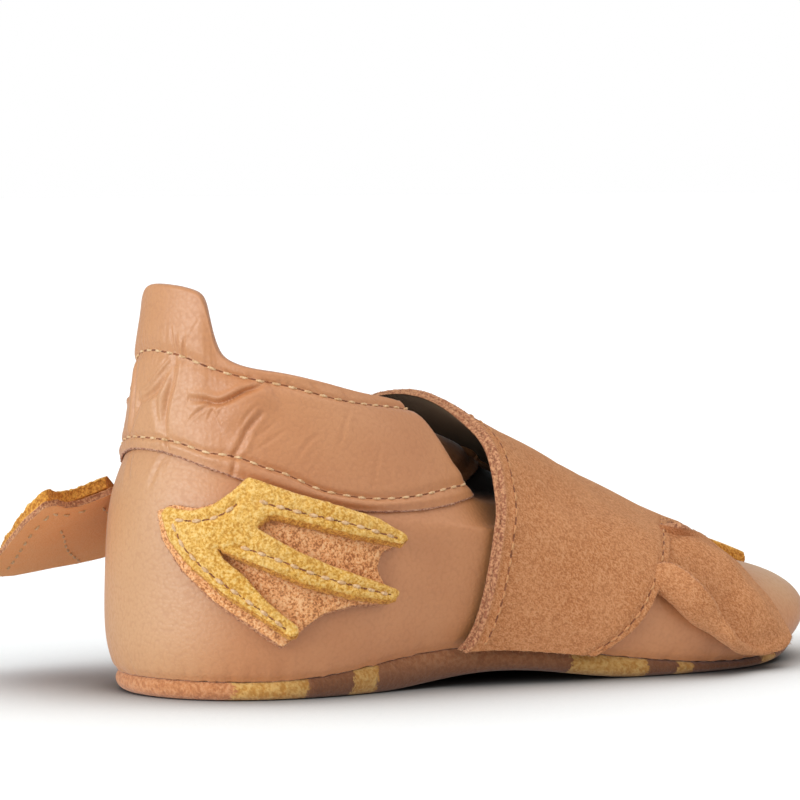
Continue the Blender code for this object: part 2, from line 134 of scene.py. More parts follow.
# Rings of the strap's inner face.
STRAP_RINGS = UPPER_RINGS[:3] + (
    (0.6, 111.6, 21.5, 22.4, 26.0, 25.6, 17.0, 30.0, 26.0, 19.2, 0.2),
    (2.8, 96.4, 19.0, 21.0, 25.0, 23.2, 14.0, 38.0, 31.0, 24.7, 0.0),
    (4.6, 80.0, 17.0, 20.0, 23.5, 21.0, 13.0, 46.0, 39.5, 32.0, 0.0),
    (5.0, 63.7, 16.0, 18.0, 20.5, 18.0, 14.0, 54.5, 46.0, 39.6, 0.0),
    (5.2, 46.8, 15.0, 15.0, 15.0, 12.0, 10.0, 62.0, 54.0, 48.5, 0.0),
)
SEAM = ((-4, 3.6), (22, 3.6), (49, 6.4), (75, 4.2), (94, 2.1), (113, 2.4), (132, 6.0))   # x, z
# Lines round the collar: turn from the heel back in degrees, height.
BAND_EDGE = ((0, 39.0), (9, 38.7), (24, 36.6), (32, 35.1), (47, 31.9), (55, 30.3), (63, 29.3), (70, 29.1),
             (79, 29.2), (96, 30.4), (135, 33.9), (180, 33.0))
LOW_STITCH = ((0, 40.5), (10, 40.3), (18, 39.5), (23, 38.7), (33, 37.9), (40, 36.4), (47, 34.9), (53, 32.9),
              (59, 31.8), (66, 31.1), (72, 31.0), (79, 31.2), (90, 31.9), (100, 32.3), (135, 34.9), (180, 33.7))
TOP_STITCH = ((0, 54.5), (13, 53.9), (19, 53.1), (24, 52.2), (32, 51.2), (39, 50.5), (47, 49.8), (54, 49.1),
              (62, 47.9), (70, 46.7), (77, 45.9), (86, 45.3), (105, 44.2), (140, 38.9), (180, 36.6))
# Strap's front edge: place across it (0 on the ridge, 1 at the seam), x.
STRAP_FRONT = ((0.0, 113.0), (0.1, 111.0), (0.25, 100.6), (0.45, 92.2), (0.66, 86.2), (0.78, 82.2),
               (0.9, 77.7), (1.0, 71.9))
STRAP_SLANT = 1.1         # the raw back edge is cut at a slant and flares out
STRAP_FLARE = 0.9
STRAP_FLARE_REACH = 2.5
STRAP_REACH = 0.993       # how far across the strap goes, 1 being the seam
STRAP_LIFT = GAP + 0.05
STRAP_PULL = 0.3          # drawn in along its edges: depth, half width, distance from the back edge
STRAP_PULL_WIDTH = 0.8
STRAP_PULL_BACK = 1.7
STRAP_RIDGE = 0.05        # half width of the rounding where its front edge crosses the ridge
STRAP_BACK_SEAM = 44.6    # station of its back edge at the seam, how far this swings forward, and its curve
STRAP_BACK_SWING = 8.8
STRAP_BACK_POWER = 0.2
STRAP_BARE = 0.24         # no stitches nearer the ridge than this
STRAP_FIBRES = 14.0       # loose fibres to a millimetre of raw edge
FLAP_FIBRES = 12.0
HORN_FIBRES = 5.0
LEAF_FIBRES = 7.0
BAND_FIBRES = 900         # on the whole hem

# Leather drawn in at the sole seam: depth, height of the pull and of the gathers above it.
SEAM_PULL = 0.4
SEAM_PULL_HEIGHT = 0.8
GATHER_HEIGHT = 3.2
FOOT_LEVEL_HEIGHT = 6.0   # about how tall one ring level is there
FOOT_REACH = 0.28         # how far the foot of the wall reaches down, and below which level
FOOT_LEVEL = 0.3
THIN_FROM = 5.0           # level from which the upper's wall grows thinner, and over how much
THIN_OVER = 0.8

# Relief of the collar band.
LEVEL_HEIGHT = 8.0        # about how tall one ring level is there
BAND_RADIUS = 26          # about how far the band is from the middle
BAND_PUFF = 0.4
HEM_PUFF = 0.12
HEM_PRESS = 0.3
LOW_PULL = 0.5            # pulled in along each row of stitches
TOP_PULL = 0.42
PULL_WIDTH = 0.6
RUFFLE_REACH = 2.2
PLEAT_DEPTH = 0.26
PLEAT_WIDTH = 0.4
RELIEF_DEEPEST = 0.85
RELIEF_FADE = 0.18        # levels below the rim in which it dies out
PLEAT_RISE = 0.12         # levels above the stitches in which a pleat begins
FAR_STRETCH = 1.06        # creases lie a little further round on the far side
BAND_THIN = 0.5           # levels below the rim, and above the hem, in which the band is thinner
HEM_THIN = 0.2
FOLD_DOWN = 0.75          # levels that the band goes down inside
FOLD_OPEN = 0.35          # how far its inner end stands off
HEM_MARKS = (0.55, 0.25)  # how much the first rows above the hem count as raw edge
RIM_MARK = 0.62

# Creases in the collar band: places on it (turn in degrees, height), then the trough's depth and half
# width, the height of the swellings beside it and how far these favour the lower side.
BAND_CREASES = (
    (((12.5, 53.6), (8.2, 50.9), (4.8, 48.4), (0, 47.1), (-6, 45.5)), 0.6, 0.6, 0.2, 0.0),
    (((10.8, 53.3), (6.8, 51.3), (2.2, 49.0), (-3, 47.6)), 0.22, 0.2, 0.08, 0.0),
    (((8.8, 53.7), (4.8, 51.6), (0, 49.6), (-4, 48.6)), 0.16, 0.2, 0.06, 0.0),
    (((5.8, 48.1), (5.0, 46.0), (5.8, 44.0), (7.8, 41.1)), 0.3, 0.5, 0.1, 0.0),
    (((12.2, 53.0), (11, 49.4), (9.2, 46.2), (8.8, 43.0), (9.8, 40.9)), 0.6, 0.55, 0.2, 0.0),
    (((13.6, 52.4), (12.2, 49.0), (10.6, 45.8), (10.2, 43.0)), 0.16, 0.2, 0.06, 0.0),
    (((46, 49.6), (41, 48.7), (36.5, 48.0), (28.8, 46.4), (23, 46.8), (17, 47.0)), 0.8, 0.42, 0.3, 0.5),
    (((48, 48.2), (40, 46.6), (33, 44.8), (27, 43.6)), -0.8, 2.3, 0.0, 0.0),
    (((26, 46.3), (21.8, 45.3), (18.5, 43.8)), 0.16, 0.2, 0.06, 0.0),
    (((28.8, 46.2), (25.5, 45.0), (24, 43.7)), 0.16, 0.2, 0.06, 0.0),
    (((31, 46.0), (28.4, 44.8), (27.2, 43.4)), 0.12, 0.18, 0.05, 0.0),
    (((23.5, 46.9), (20, 46.4), (16.5, 46.2)), 0.15, 0.2, 0.06, 0.0),
    (((24.5, 46.2), (20, 44.6), (17, 42.6)), 0.12, 0.18, 0.05, 0.0),
    (((42.5, 45.2), (36.5, 42.3), (33.8, 39.7), (30.5, 37.3)), 0.5, 0.34, 0.2, 0.0),
    (((41, 46.3), (36.5, 44.2), (34, 42.2)), 0.16, 0.2, 0.06, 0.0),
    (((37.5, 42.0), (35.5, 40.0), (33.5, 38.4)), 0.2, 0.22, 0.08, 0.0),
    (((38, 38.9), (43, 40.6), (48, 42.3)), 0.12, 0.25, 0.05, 0.0),
    (((37, 40.6), (42, 42.2), (46, 43.8)), 0.1, 0.22, 0.04, 0.0),
    (((48.5, 37.1), (52.5, 39.8), (57, 41.4)), 0.14, 0.26, 0.06, 0.0),
    (((51, 34.6), (54.5, 37.0), (58, 39.0)), 0.1, 0.22, 0.04, 0.0),
    (((61, 38.8), (65.5, 42.2), (70.5, 44.9)), 0.12, 0.28, 0.05, 0.0),
    (((66, 31.8), (70.2, 35.8), (74.8, 39.5)), 0.12, 0.28, 0.05, 0.0),
    (((9.8, 40.6), (11.2, 38.6)), 0.35, 0.32, 0.1, 0.0),
    (((32.5, 38.2), (31.5, 35.0)), 0.4, 0.34, 0.14, 0.0),
    (((9.8, 58.4), (11.0, 55.9), (12.0, 54.0)), 0.15, 0.2, 0.06, 0.0),
    (((12.8, 57.3), (13.0, 55.5), (13.8, 53.6)), 0.18, 0.2, 0.06, 0.0),
    (((16.8, 57.0), (15.8, 55.3), (15.5, 53.5)), 0.18, 0.2, 0.06, 0.0),
    (((22.0, 59.6), (19.2, 57.5), (16.8, 55.5)), 0.1, 0.2, 0.04, 0.0),
)
FAR_CREASES = (3, 4, 6, 7, 8, 9, 13, 16, 18, 20, 23)   # those that the far side has too
PLEAT_TURNS = (42.0, 46.8, 52.0, 55.5, 64.0, 76.0, 90.0)   # short gathers above the top stitch
QUARTER_CREASES = (
    (((9.2, 38.4), (8.0, 36.7), (6.8, 34.8), (5.5, 32.9)), 0.35, 0.34, 0.12, 0.0),
    (((10.5, 38.2), (9.8, 36.5), (9.0, 34.5)), 0.22, 0.28, 0.08, 0.0),
    (((8.0, 38.2), (6.6, 36.2), (5.0, 34.2)), 0.18, 0.28, 0.08, 0.0),
    (((-9, 38.2), (-7, 35.8), (-4, 33.4)), 0.3, 0.5, 0.12, 0.0),
)

# Wing leaf laid flat: s along the wall from the heel back, z up the wall.
WEB_OUTLINE = (
    (7.2, 29.6), (8.4, 25.2), (11.4, 21.0), (15.9, 16.2), (21.0, 12.3), (25.0, 9.2), (26.9, 10.5),
    (28.3, 12.0), (31.4, 13.9), (36.2, 15.0), (42.0, 15.0), (43.8, 16.6), (42.0, 17.9), (41.3, 20.4),
    (43.2, 23.0), (46.5, 24.0), (48.6, 25.6), (44.6, 28.1), (37.3, 29.9), (31.0, 31.7), (25.3, 33.6),
    (22.5, 34.6), (20.5, 32.9), (17.1, 30.9), (13.9, 30.1), (10.1, 30.6),
)
# The far web hangs open and shows no scallops.
FAR_WEB_OUTLINE = WEB_OUTLINE[:6] + (
    (27.6, 10.0), (31.0, 10.6), (33.6, 12.0), (37.6, 14.2), (42.0, 16.0), (46.4, 18.2), (48.8, 20.6),
    (49.4, 23.4),
) + WEB_OUTLINE[16:]
RIB_OUTLINE = (
    (9.2, 29.2), (10.4, 25.6), (13.2, 21.9), (17.5, 17.5), (22.4, 13.7), (26.0, 10.8), (26.8, 11.2),
    (26.9, 12.3), (24.9, 14.0), (22.6, 16.7), (20.4, 20.1), (17.9, 22.7), (17.1, 24.5), (18.7, 23.6),
    (23.8, 21.2), (28.8, 18.7), (35.5, 16.6), (41.8, 15.6), (43.0, 16.3), (43.2, 17.2), (38.8, 19.0),
    (33.3, 21.2), (27.9, 24.0), (25.3, 25.7), (23.0, 27.3), (24.6, 28.7), (26.0, 29.0), (30.9, 27.8),
    (38.9, 25.8), (46.3, 24.4), (47.9, 25.2), (47.8, 25.9), (44.2, 27.8), (37.3, 29.6), (31.0, 31.4),
    (25.3, 33.3), (22.5, 34.2), (20.5, 32.5), (17.1, 30.4), (13.9, 29.6), (10.1, 30.1),
)
RIB_STITCHES = (
    ((10.9, 28.4), (12.4, 24.9), (15.6, 20.8), (19.8, 16.9), (25.2, 12.0)),
    ((10.9, 28.4), (14.0, 28.2), (17.6, 28.8), (20.6, 30.4)),
    ((20.0, 24.7), (25.0, 22.6), (30.0, 20.2), (35.6, 18.2), (41.6, 16.5)),
    ((23.4, 30.9), (28.0, 29.6), (33.2, 28.4), (39.6, 27.0), (46.0, 25.3)),
)
LEAF_CELL = 0.3           # spacing of the leaf's own points, and how close they come to its outline
LEAF_CLEAR = 0.17
RIB_PAD = 0.55            # height of the ribs at their edge, further rise, drop of the very edge, stitches
RIB_RISE = 0.2
RIB_DROP = 0.22
RIB_PULL = 0.42
RIB_PULL_WIDTH = 0.5
RIB_SLANT = (-0.1, -0.75)   # how far a cut edge leans out at its foot
WEB_SLANT = (-0.2, -0.35)
LEAF_LIFT = 0.9           # how far the lowest tips stand off the wall
LEAF_LOW = 9.2
WALL_LEVEL = 2.5          # ring along which a leaf's length is measured
WALL_TOP = 5.0
FAR_ROOT = (5.9, 13.7, 30.4)   # where the far leaf is held
FAR_REACH = 1.1           # stretch of the far leaf down its slope
FAR_RIB_SHIFT = (-0.3, 0.5)   # its ribs stand over the web's upper edge
FAR_HEADING = 27.6        # its direction, fall and lean in degrees
FAR_FALL = 6.7
FAR_LEAN = 50.0
FAR_CURL = 0.006
ROOT_S = 22.3             # root of the flat leaf
ROOT_Z = 33.4

# Toe flap sections from under the strap to the tip: far rim, hollow, belly, low fold, near rim.
FLAP_SECTIONS = (
    ((90.0, -21.0, 24.0), (88.4, -24.4, 22.4), (86.5, -27.5, 20.5), (80.5, -31.0, 14.5), (82.0, -30.5, 18.0)),
    ((91.5, -27.0, 24.2), (92.6, -25.8, 22.3), (91.3, -28.0, 20.2), (83.5, -31.5, 14.0), (85.0, -32.0, 18.5)),
    ((101.0, -21.5, 21.0), (100.2, -24.9, 19.3), (98.2, -29.4, 18.0), (89.0, -32.5, 9.5), (88.5, -35.5, 15.0)),
    ((106.7, -22.8, 16.9), (103.7, -27.8, 15.4), (101.0, -31.6, 13.0), (93.5, -33.5, 6.5), (91.5, -35.5, 11.0)),
    ((108.2, -28.3, 11.8), (106.0, -31.0, 10.5), (103.5, -32.8, 9.0), (97.0, -34.0, 4.5), (94.5, -36.0, 6.5)),
    ((111.0, -29.7, 7.2), (109.4, -31.2, 6.3), (107.5, -32.2, 5.5), (102.5, -33.0, 3.2), (100.0, -33.5, 4.2)),
    ((112.0, -30.5, 4.8), (111.1, -31.1, 4.3), (110.2, -31.5, 3.8), (107.5, -32.0, 3.0), (105.0, -32.5, 3.0)),
)
FLAP_PLACES = (0.0, 0.2, 0.42, 0.72, 0.87, 1.0)   # places of those points across, with the rolled fold added
FLAP_ROLL_SHARES = (0.2, 0.5, 1.0, 1.0, 0.8, 0.3, 0.0)
FLAP_ROLL = (-0.8, -1.1, 0.1)   # how far the near fold bulges out
HORN_FROM = 114.8         # stations and heights of the horn's two ends
HORN_TO = 123.4
HORN_BASE = 18.2
HORN_END = 15.2
HORN_HALF_WIDTH = 4.4
HORN_THICK = 2.0
HORN_ROUND = 20.0

# Stitches: spacing and length along the seam, thread's half width, how far it stands out.
STITCH_STEP = 2.65
STITCH_LENGTH = 1.6
HOLE_LENGTH = 1.25        # dark dash of painted shade between two stitches, for the needle holes
THREAD = 0.22
RIB_THREAD = 0.3
THREAD_PROUD = 0.12
LOW_STITCH_END = 99.0     # the collar's seams end under the strap, in degrees of turn
TOP_STITCH_END = 105.0
STITCH_ACROSS = 0.985     # the strap's seams: how far across they go, distance from its front and back edge
FRONT_STITCH = 1.3
BACK_STITCH = 1.9
# How a cut edge is rounded: share of the thickness from the outer face, push outward.
CUT_EDGE = ((0.12, 0.10), (0.35, 0.17), (0.65, 0.17), (0.88, 0.10))
SEWN_EDGE = ((0.08, 0.10), (0.26, 0.18), (0.42, 0.13), (0.5, -0.14), (0.58, 0.13), (0.76, 0.18), (0.92, 0.10))

# Cross profile of the sole, from its inner floor up to the seam and down outside to the ground: inset from
# the seam, share of the height up to it, share of the sole's thickness to start from.
SOLE_PROFILE = (
    (4.6, 0.0, 1.0), (2.6, 0.15, 1.0), (1.9, 0.55, 1.0), (1.75, 0.9, 1.0), (1.5, 1.0, 0.0), (0.9, 1.03, 0.0),
    (0.45, 0.97, 0.0), (0.12, 0.8, 0.0), (0.0, 0.62, 0.0), (0.12, 0.42, 0.0), (0.4, 0.25, 0.0),
    (0.85, 0.12, 0.0), (1.4, 0.04, 0.0), (2.2, 0.0, 0.0),
)
SOLE_HIGHEST = 1.02
SOLE_MIDDLE = (62.0, -1.0)
# Insole: inset from the seam, share of its thickness.
INSOLE_PROFILE = ((3.75, 1.0), (3.45, 0.94), (3.3, 0.75), (3.3, 0.4), (3.5, 0.1), (3.9, 0.0))

# Printed bars across the sole: middle and half width along the shoe.
SOLE_BARS = ((12.7, 5.2), (28.5, 2.4), (72.6, 6.6), (86.3, 1.6), (107.5, 2.4))
BAR_SLANT = 0.12
BAR_SOFT = 0.25           # half width of a bar's soft border
BAR_RAGGED = 0.0008       # unevenness of that border, in metres

LEATHER_TAN = (0.50, 0.186, 0.058, 1)
LEATHER_PALE = (0.56, 0.230, 0.083, 1)
LEATHER_PAINTED_HIGHLIGHT = (0.57, 0.315, 0.148, 1)   # painted highlight at the back of the heel and on the toe
LEATHER_DEEP = (0.34, 0.125, 0.050, 1)
LINING_TAN = (0.46, 0.23, 0.11, 1)
PAINTED_SHADE_BROWN = (0.014, 0.006, 0.004, 1)   # painted shade where the strap hides the collar and on the strap's inner face
RAW_PINK = (0.60, 0.33, 0.20, 1)
SUEDE_TAN = (0.53, 0.215, 0.085, 1)
SUEDE_DEEP = (0.32, 0.105, 0.038, 1)
SUEDE_PALE = (0.68, 0.34, 0.17, 1)
SUEDE_SHEEN = (0.95, 0.68, 0.45, 1)
WEB_TAN = (0.78, 0.335, 0.125, 1)
WEB_PALE = (0.90, 0.54, 0.28, 1)
# paler tone of the far web: painted light on its shaded face
FAR_WEB_PAINTED_LIGHT = (0.92, 0.40, 0.155, 1)
SOLE_PAINTED_SHADE = (0.10, 0.034, 0.013, 1)   # painted shade on the sole ahead of the heel
EDGE_DEEP = (0.34, 0.125, 0.065, 1)
EDGE_PALE = (0.63, 0.31, 0.16, 1)
YELLOW = (0.72, 0.395, 0.085, 1)
YELLOW_DEEP = (0.46, 0.19, 0.022, 1)
YELLOW_PALE = (0.86, 0.58, 0.22, 1)
ORANGE_DEEP = (0.44, 0.16, 0.026, 1)
ORANGE_PALE = (0.74, 0.36, 0.07, 1)
PRINT_YELLOW = (0.47, 0.215, 0.034, 1)
PRINT_PALE = (0.68, 0.42, 0.13, 1)
THREAD_CREAM = (0.76, 0.52, 0.30, 1)
THREAD_SHADE = (0.56, 0.32, 0.15, 1)
THREAD_TAN = (0.58, 0.30, 0.13, 1)
# painted shade of the needle holes between stitches
HOLE_PAINTED_SHADE = (0.15, 0.052, 0.024, 1)
FELT = (0.55, 0.36, 0.22, 1)
FELT_DEEP = (0.38, 0.23, 0.13, 1)
# Suedes: their tones (middle, deep, pale), tones of the raw edge, scale of the nap, how far its fibres are
# drawn out, and how strongly the tones differ.
SUEDES = {
    "tan_suede": ((SUEDE_TAN, SUEDE_DEEP, SUEDE_PALE), (EDGE_DEEP, EDGE_PALE), 4600.0, 0.4, 0.68),
    "web_suede": ((WEB_TAN, SUEDE_DEEP, WEB_PALE), (EDGE_DEEP, EDGE_PALE), 2800.0, 0.0, 0.9),
    # far web: a paler copy of the web suede, painted light on its shaded face
    "far_web_suede": ((FAR_WEB_PAINTED_LIGHT, WEB_TAN, WEB_PALE), (EDGE_DEEP, EDGE_PALE), 4600.0, 0.3, 0.35),
    "yellow_suede": ((YELLOW, YELLOW_DEEP, YELLOW_PALE), (ORANGE_DEEP, ORANGE_PALE), 2500.0, 0.0, 0.8),
}
NAP_DIRECTION = (0.62, -0.30, -0.72)   # the way the suede is brushed
GRAIN_SCALE = 1700.0
SOLE_NAP = 1900.0
THREAD_NAP = 2600.0
FELT_NAP = 1500.0
# Where the leather is painted paler as a highlight and the sole painted darker as shade, in metres of the
# frame, from one end of the change to the other.
PAINTED_HIGHLIGHT_HEEL = (-0.064, -0.048)
PAINTED_HIGHLIGHT_TOE = (0.044, 0.060)
PAINTED_HIGHLIGHT_TOE_HEIGHT = (0.006, 0.014)
PAINTED_HIGHLIGHT_SHARE = 0.9
PAINTED_SOLE_SHADE_FROM = (-0.047, -0.036)
PAINTED_SOLE_SHADE_HEIGHT = (0.001, 0.0065)
PAINTED_SOLE_SHADE_SHARE = (0.85, 0.42)   # at the ground and at the seam
PAINTED_SOLE_SHADE_ON_PRINT = 0.3
PRINT_COVER = 0.85

# Lights: the side they come from, strength, width of the light in degrees, colour.
LIGHTS = (("key", (-0.97, -0.05, 0.26), 2.9, 50.0, (0.91, 1.0, 1.05)),
          ("fill", (0.30, -0.62, 0.72), 1.15, 80.0, (1.0, 0.97, 0.90)),
          ("top", (0.0, -0.1, 1.0), 0.6, 75.0, (0.96, 1.0, 1.03)))
WORLD_LIGHT = 0.34
FLOOR_REACH = 6.0         # metres from the middle to each side
FLOOR_SEEN = 1.12
FLOOR_BOUNCE = 0.75
FLOOR_SHADE = 0.11        # reach of the floor's soft contact shade
FLOOR_DEPTH = 1.3         # power of that shade
FLOOR_DARKEST = 0.16

# The photograph's camera: angles in degrees, distance and target on the stations, lens for a 36 mm frame.
CAMERA_AZIMUTH = -37.27
CAMERA_ELEVATION = 3.10
CAMERA_DISTANCE = 771.1
CAMERA_TARGET = np.array((56.67, 4.06, 44.81))
CAMERA_LENS = 210.13
CAMERA_FRAME = 36.0


class Spline:
    """Natural cubic spline through values held at fixed knots."""

    def __init__(self, knots):
        self.knots = np.asarray(knots, float)
        count = len(self.knots)
        steps = np.diff(self.knots)
        left = np.eye(count)
        right = np.zeros((count, count))
        for i in range(1, count - 1):
            left[i, i - 1:i + 2] = steps[i - 1], 2 * (steps[i - 1] + steps[i]), steps[i]
            right[i, i - 1:i + 2] = 6 / steps[i - 1], -6 / steps[i - 1] - 6 / steps[i], 6 / steps[i]
        self.bends = np.linalg.solve(left, right)

    def weights(self, place):
        """Share of each knot's value at the given places."""
        place = np.asarray(place, float)
        i = np.clip(np.searchsorted(self.knots, place) - 1, 0, len(self.knots) - 2)
        step = self.knots[i + 1] - self.knots[i]
        a = (self.knots[i + 1] - place) / step
        b = 1 - a
        one = np.eye(len(self.knots))
        share = a[..., None] * one[i] + b[..., None] * one[i + 1]
        share = share + ((a ** 3 - a) * step ** 2 / 6)[..., None] * self.bends[i]
        return share + ((b ** 3 - b) * step ** 2 / 6)[..., None] * self.bends[i + 1]

    def at(self, place, values):
        return self.weights(place) @ np.asarray(values, float)


def table_line(table):
    """Function through a two-column table."""
    line = Spline([row[0] for row in table])
    values = [row[1] for row in table]
    return lambda place: line.at(place, values)


ACROSS = Spline((0.0, 0.2, 0.45, 0.7, 1.0))
LENGTHWISE = Spline((0.0, 0.45, 1.0))
seam_height = table_line(SEAM)
strap_front = table_line(STRAP_FRONT)


def soft_step(share):
    """Rise from 0 to 1 with soft ends."""
    share = np.clip(share, 0, 1)
    return share * share * (3 - 2 * share)


def bell(place):
    """Bell curve, 1 at nought."""
    return np.exp(-place ** 2)


def from_heel(turn):
    """Turn from the heel back in radians, alike on both sides, between 0 and pi."""
    return np.abs((turn + math.pi) % (2 * math.pi) - math.pi)


def unit(vectors):
    """Vectors brought to length 1."""
    return vectors / np.maximum(np.linalg.norm(vectors, axis=-1, keepdims=True), 1e-12)


def floor_height(x):
    """Underside of the sole: flat at heel and ball, raised at the arch and the toe."""
    arch = np.sin(math.pi * np.clip((x - ARCH_FROM) / (ARCH_TO - ARCH_FROM), 0, 1)) ** 2
    spring = np.clip((x - SPRING_FROM) / SPRING_LENGTH, 0, None) ** 2
    return ARCH_RISE * arch + SPRING_RISE * spring


def tucked(around, level, after, ramp):
    """Share by which the collar's front is drawn in: soft steps of the turn past a line and of the level."""
    levels, turns = np.array(TUCK_TURN).T
    past = soft_step((around - np.interp(level, levels, turns) - after) / ramp)
    return past * soft_step((level - TUCK_LEVEL) / TUCK_STEP)


def collar_shape(turn, level, point):
    """What the collar adds to plain rings. The heel tab is a power curve across with a softer foot; it rises
    with a power of the level, leans out and comes in again at its top. The rim rises beside the strap and dips
    beside the tab (bell curves of the turn), and the front is drawn in under the strap."""
    around = np.degrees(from_heel(turn))
    across = point[..., 1]
    wide = np.abs(across)
    sharp = 1 / (1 + (wide / TAB_HALF_WIDTH) ** np.where(across < 0, TAB_SQUARE_NEAR, TAB_SQUARE_FAR))
    soft = 1 / (1 + (wide / TAB_FOOT_HALF_WIDTH) ** TAB_FOOT_SQUARE)
    tab = np.clip(3 * np.cos(turn), 0, 1) * ((1 - TAB_FOOT) * sharp + TAB_FOOT * soft)
    tab = tab * (1 + TAB_TILT * across)
    share = (np.clip(level - TAB_LEVEL, 0, None) / (RIM - TAB_LEVEL)) ** TAB_POWER
    lift = RIM_LIFT * bell((around - RIM_LIFT_TURN) / RIM_LIFT_SPREAD)
    lift = lift - RIM_SCOOP * bell((around - RIM_SCOOP_TURN) / RIM_SCOOP_SPREAD)
    lift = lift * np.clip(level - RIM + 1, 0, 1)
    deep = np.where(across < 0, TUCK, TUCK_FAR)
    tuck = deep * tucked(around, level, 0, TUCK_RAMP) * np.clip(wide / TUCK_KEEP, 0, 1)
    lean = tab * (TAB_LEAN * share ** 2 - TAB_BACK * np.clip(level - TAB_BACK_LEVEL, 0, 1))
    return np.stack([lean, -np.sign(across) * tuck, TAB_RISE * tab * share + lift], -1)


class Form:
    """A last-like surface through a stack of rings."""

    def __init__(self, rings):
        self.rings = np.array(rings, float)
        self.levels = Spline(np.arange(len(rings)))

    def columns(self, level):
        return dict(zip(RING_COLUMNS, np.moveaxis(self.levels.weights(level) @ self.rings, -1, 0)))

    def place(self, along, row, side):
        """Point at a share of the ring's length, on the near (-1) or far (+1) side."""
        length = row["front"] - row["back"]
        half = length / 2
        widths = np.stack([np.sqrt(row["heel_r"] * half), row["w20"] / 0.8, row["w45"] / 0.995,
                           row["w70"] / 0.9165, np.sqrt(row["nose_r"] * half)], -1)
        width = (ACROSS.weights(along) * widths).sum(-1) * 2 * np.sqrt(along * (1 - along))
        x = row["back"] + length * along
        waist = np.where(side < 0, WAIST_NEAR, WAIST_FAR) * bell((x - WAIST_X) / WAIST_LENGTH)
        width = np.maximum(width - waist * np.clip(row["follow"], 0, 1), 0)
        y = side * width - SWING * (np.maximum(x - SWING_FROM, 0) / 80) ** 2
        heights = np.stack([row["z_back"], row["z_side"], row["z_front"]], -1)
        z = (LENGTHWISE.weights(along) * heights).sum(-1) + row["follow"] * (seam_height(x) - SEAM_MEAN)
        return np.stack([x, y, z], -1)

    def ring(self, turn, level):
        """Point at a turn round the shoe (0 heel back, pi toe, near side first) and a ring level."""
        turn, level = np.broadcast_arrays(np.asarray(turn, float), np.asarray(level, float))
        point = self.place((1 - np.cos(turn)) / 2, self.columns(level), np.where(np.sin(turn) >= 0, -1.0, 1.0))
        return point + collar_shape(turn, level, point)

    def ring_frame(self, turn, level, step=1e-3):
        """Point, outward normal and upward direction at a turn and level."""
        across = self.ring(turn + step, level) - self.ring(turn - step, level)
        up = self.ring(turn, level + step) - self.ring(turn, level - step)
        return self.ring(turn, level), unit(np.cross(across, up)), unit(up)

    def ridge_level(self, x):
        levels = np.linspace(0.8, len(self.rings) - 1, 6000)
        return np.interp(-x, -self.columns(levels)["front"], levels)

    def section(self, x, across):
        """Point at station x, across from the near seam (-1) over the ridge (0) to the far seam (1)."""
        x, across = np.broadcast_arrays(np.asarray(x, float), np.asarray(across, float))
        row = self.columns(self.ridge_level(x) * (1 - across ** 2))
        along = np.clip((x - row["back"]) / (row["front"] - row["back"]), 0, 1)
        return self.place(along, row, np.where(across < 0, -1.0, 1.0))

    def section_frame(self, x, across, step=2e-3):
        """Point and outward normal at a station and a place across."""
        lengthwise = self.section(x + 0.05, across) - self.section(x - 0.05, across)
        sideways = self.section(x, across + step) - self.section(x, across - step)
        return self.section(x, across), unit(np.cross(lengthwise, sideways))


UPPER = Form(UPPER_RINGS)
STRAP = Form(STRAP_RINGS)


def level_at(turn, height, low=0.0, high=6.3):
    """Ring level of the upper that lies at a height, found by halving."""
    low = np.full(np.shape(height), low)
    high = np.full(np.shape(height), high)
    for _ in range(HALVINGS):
        middle = (low + high) / 2
        below = UPPER.ring(turn, middle)[..., 2] < height
        low = np.where(below, middle, low)
        high = np.where(below, high, middle)
    return low


def level_line(table):
    """Function of the turn that gives the ring level of a line round the collar, alike on both sides."""
    turns = np.linspace(0, math.pi, 361)
    levels = level_at(turns, table_line(table)(np.degrees(turns)))
    return lambda turn: np.interp(from_heel(turn), turns, levels)


band_edge = level_line(BAND_EDGE)
low_stitch = level_line(LOW_STITCH)
top_stitch = level_line(TOP_STITCH)


# Meshes

def facing_out(points, faces):
    """Faces turned round if the solid they bound is inside out."""
    corners = points[triangles(faces)]
    if np.einsum("ij,ij->", corners[:, 0], np.cross(corners[:, 1], corners[:, 2])) < 0:
        return [face[:, ::-1] for face in faces]
    return faces


def edge_fibres(top, low, away, count, first):
    """Loose fibres on a raw edge: thin spikes of four faces at scattered places, leaning outward.
    Gives their points and faces, first being the index of the first point."""
    at = RANDOM.integers(0, len(top), count)
    deep = RANDOM.random((count, 1))
    base = top[at] + deep * (low - top)[at] + 0.05 * away[at]
    lean = unit(away[at] + FIBRE_SCATTER * RANDOM.normal(size=(count, 3)))
    long = FIBRE_SHORTEST + FIBRE_LENGTH * RANDOM.random((count, 1)) ** 2.5
    side = unit(np.cross(lean, (0.3, 0.5, 0.8)))
    other = np.cross(lean, side)
    ring = [base + FIBRE * (math.cos(a) * side + math.sin(a) * other) for a in (0.0, 2.1, 4.2)]
    points = np.stack(ring + [base + long * lean], 1).reshape(-1, 3)
    each = first + 4 * np.arange(count)[:, None, None]
    return points, (np.array(((0, 1, 3), (1, 2, 3), (2, 0, 3), (0, 2, 1))) + each).reshape(-1, 3)


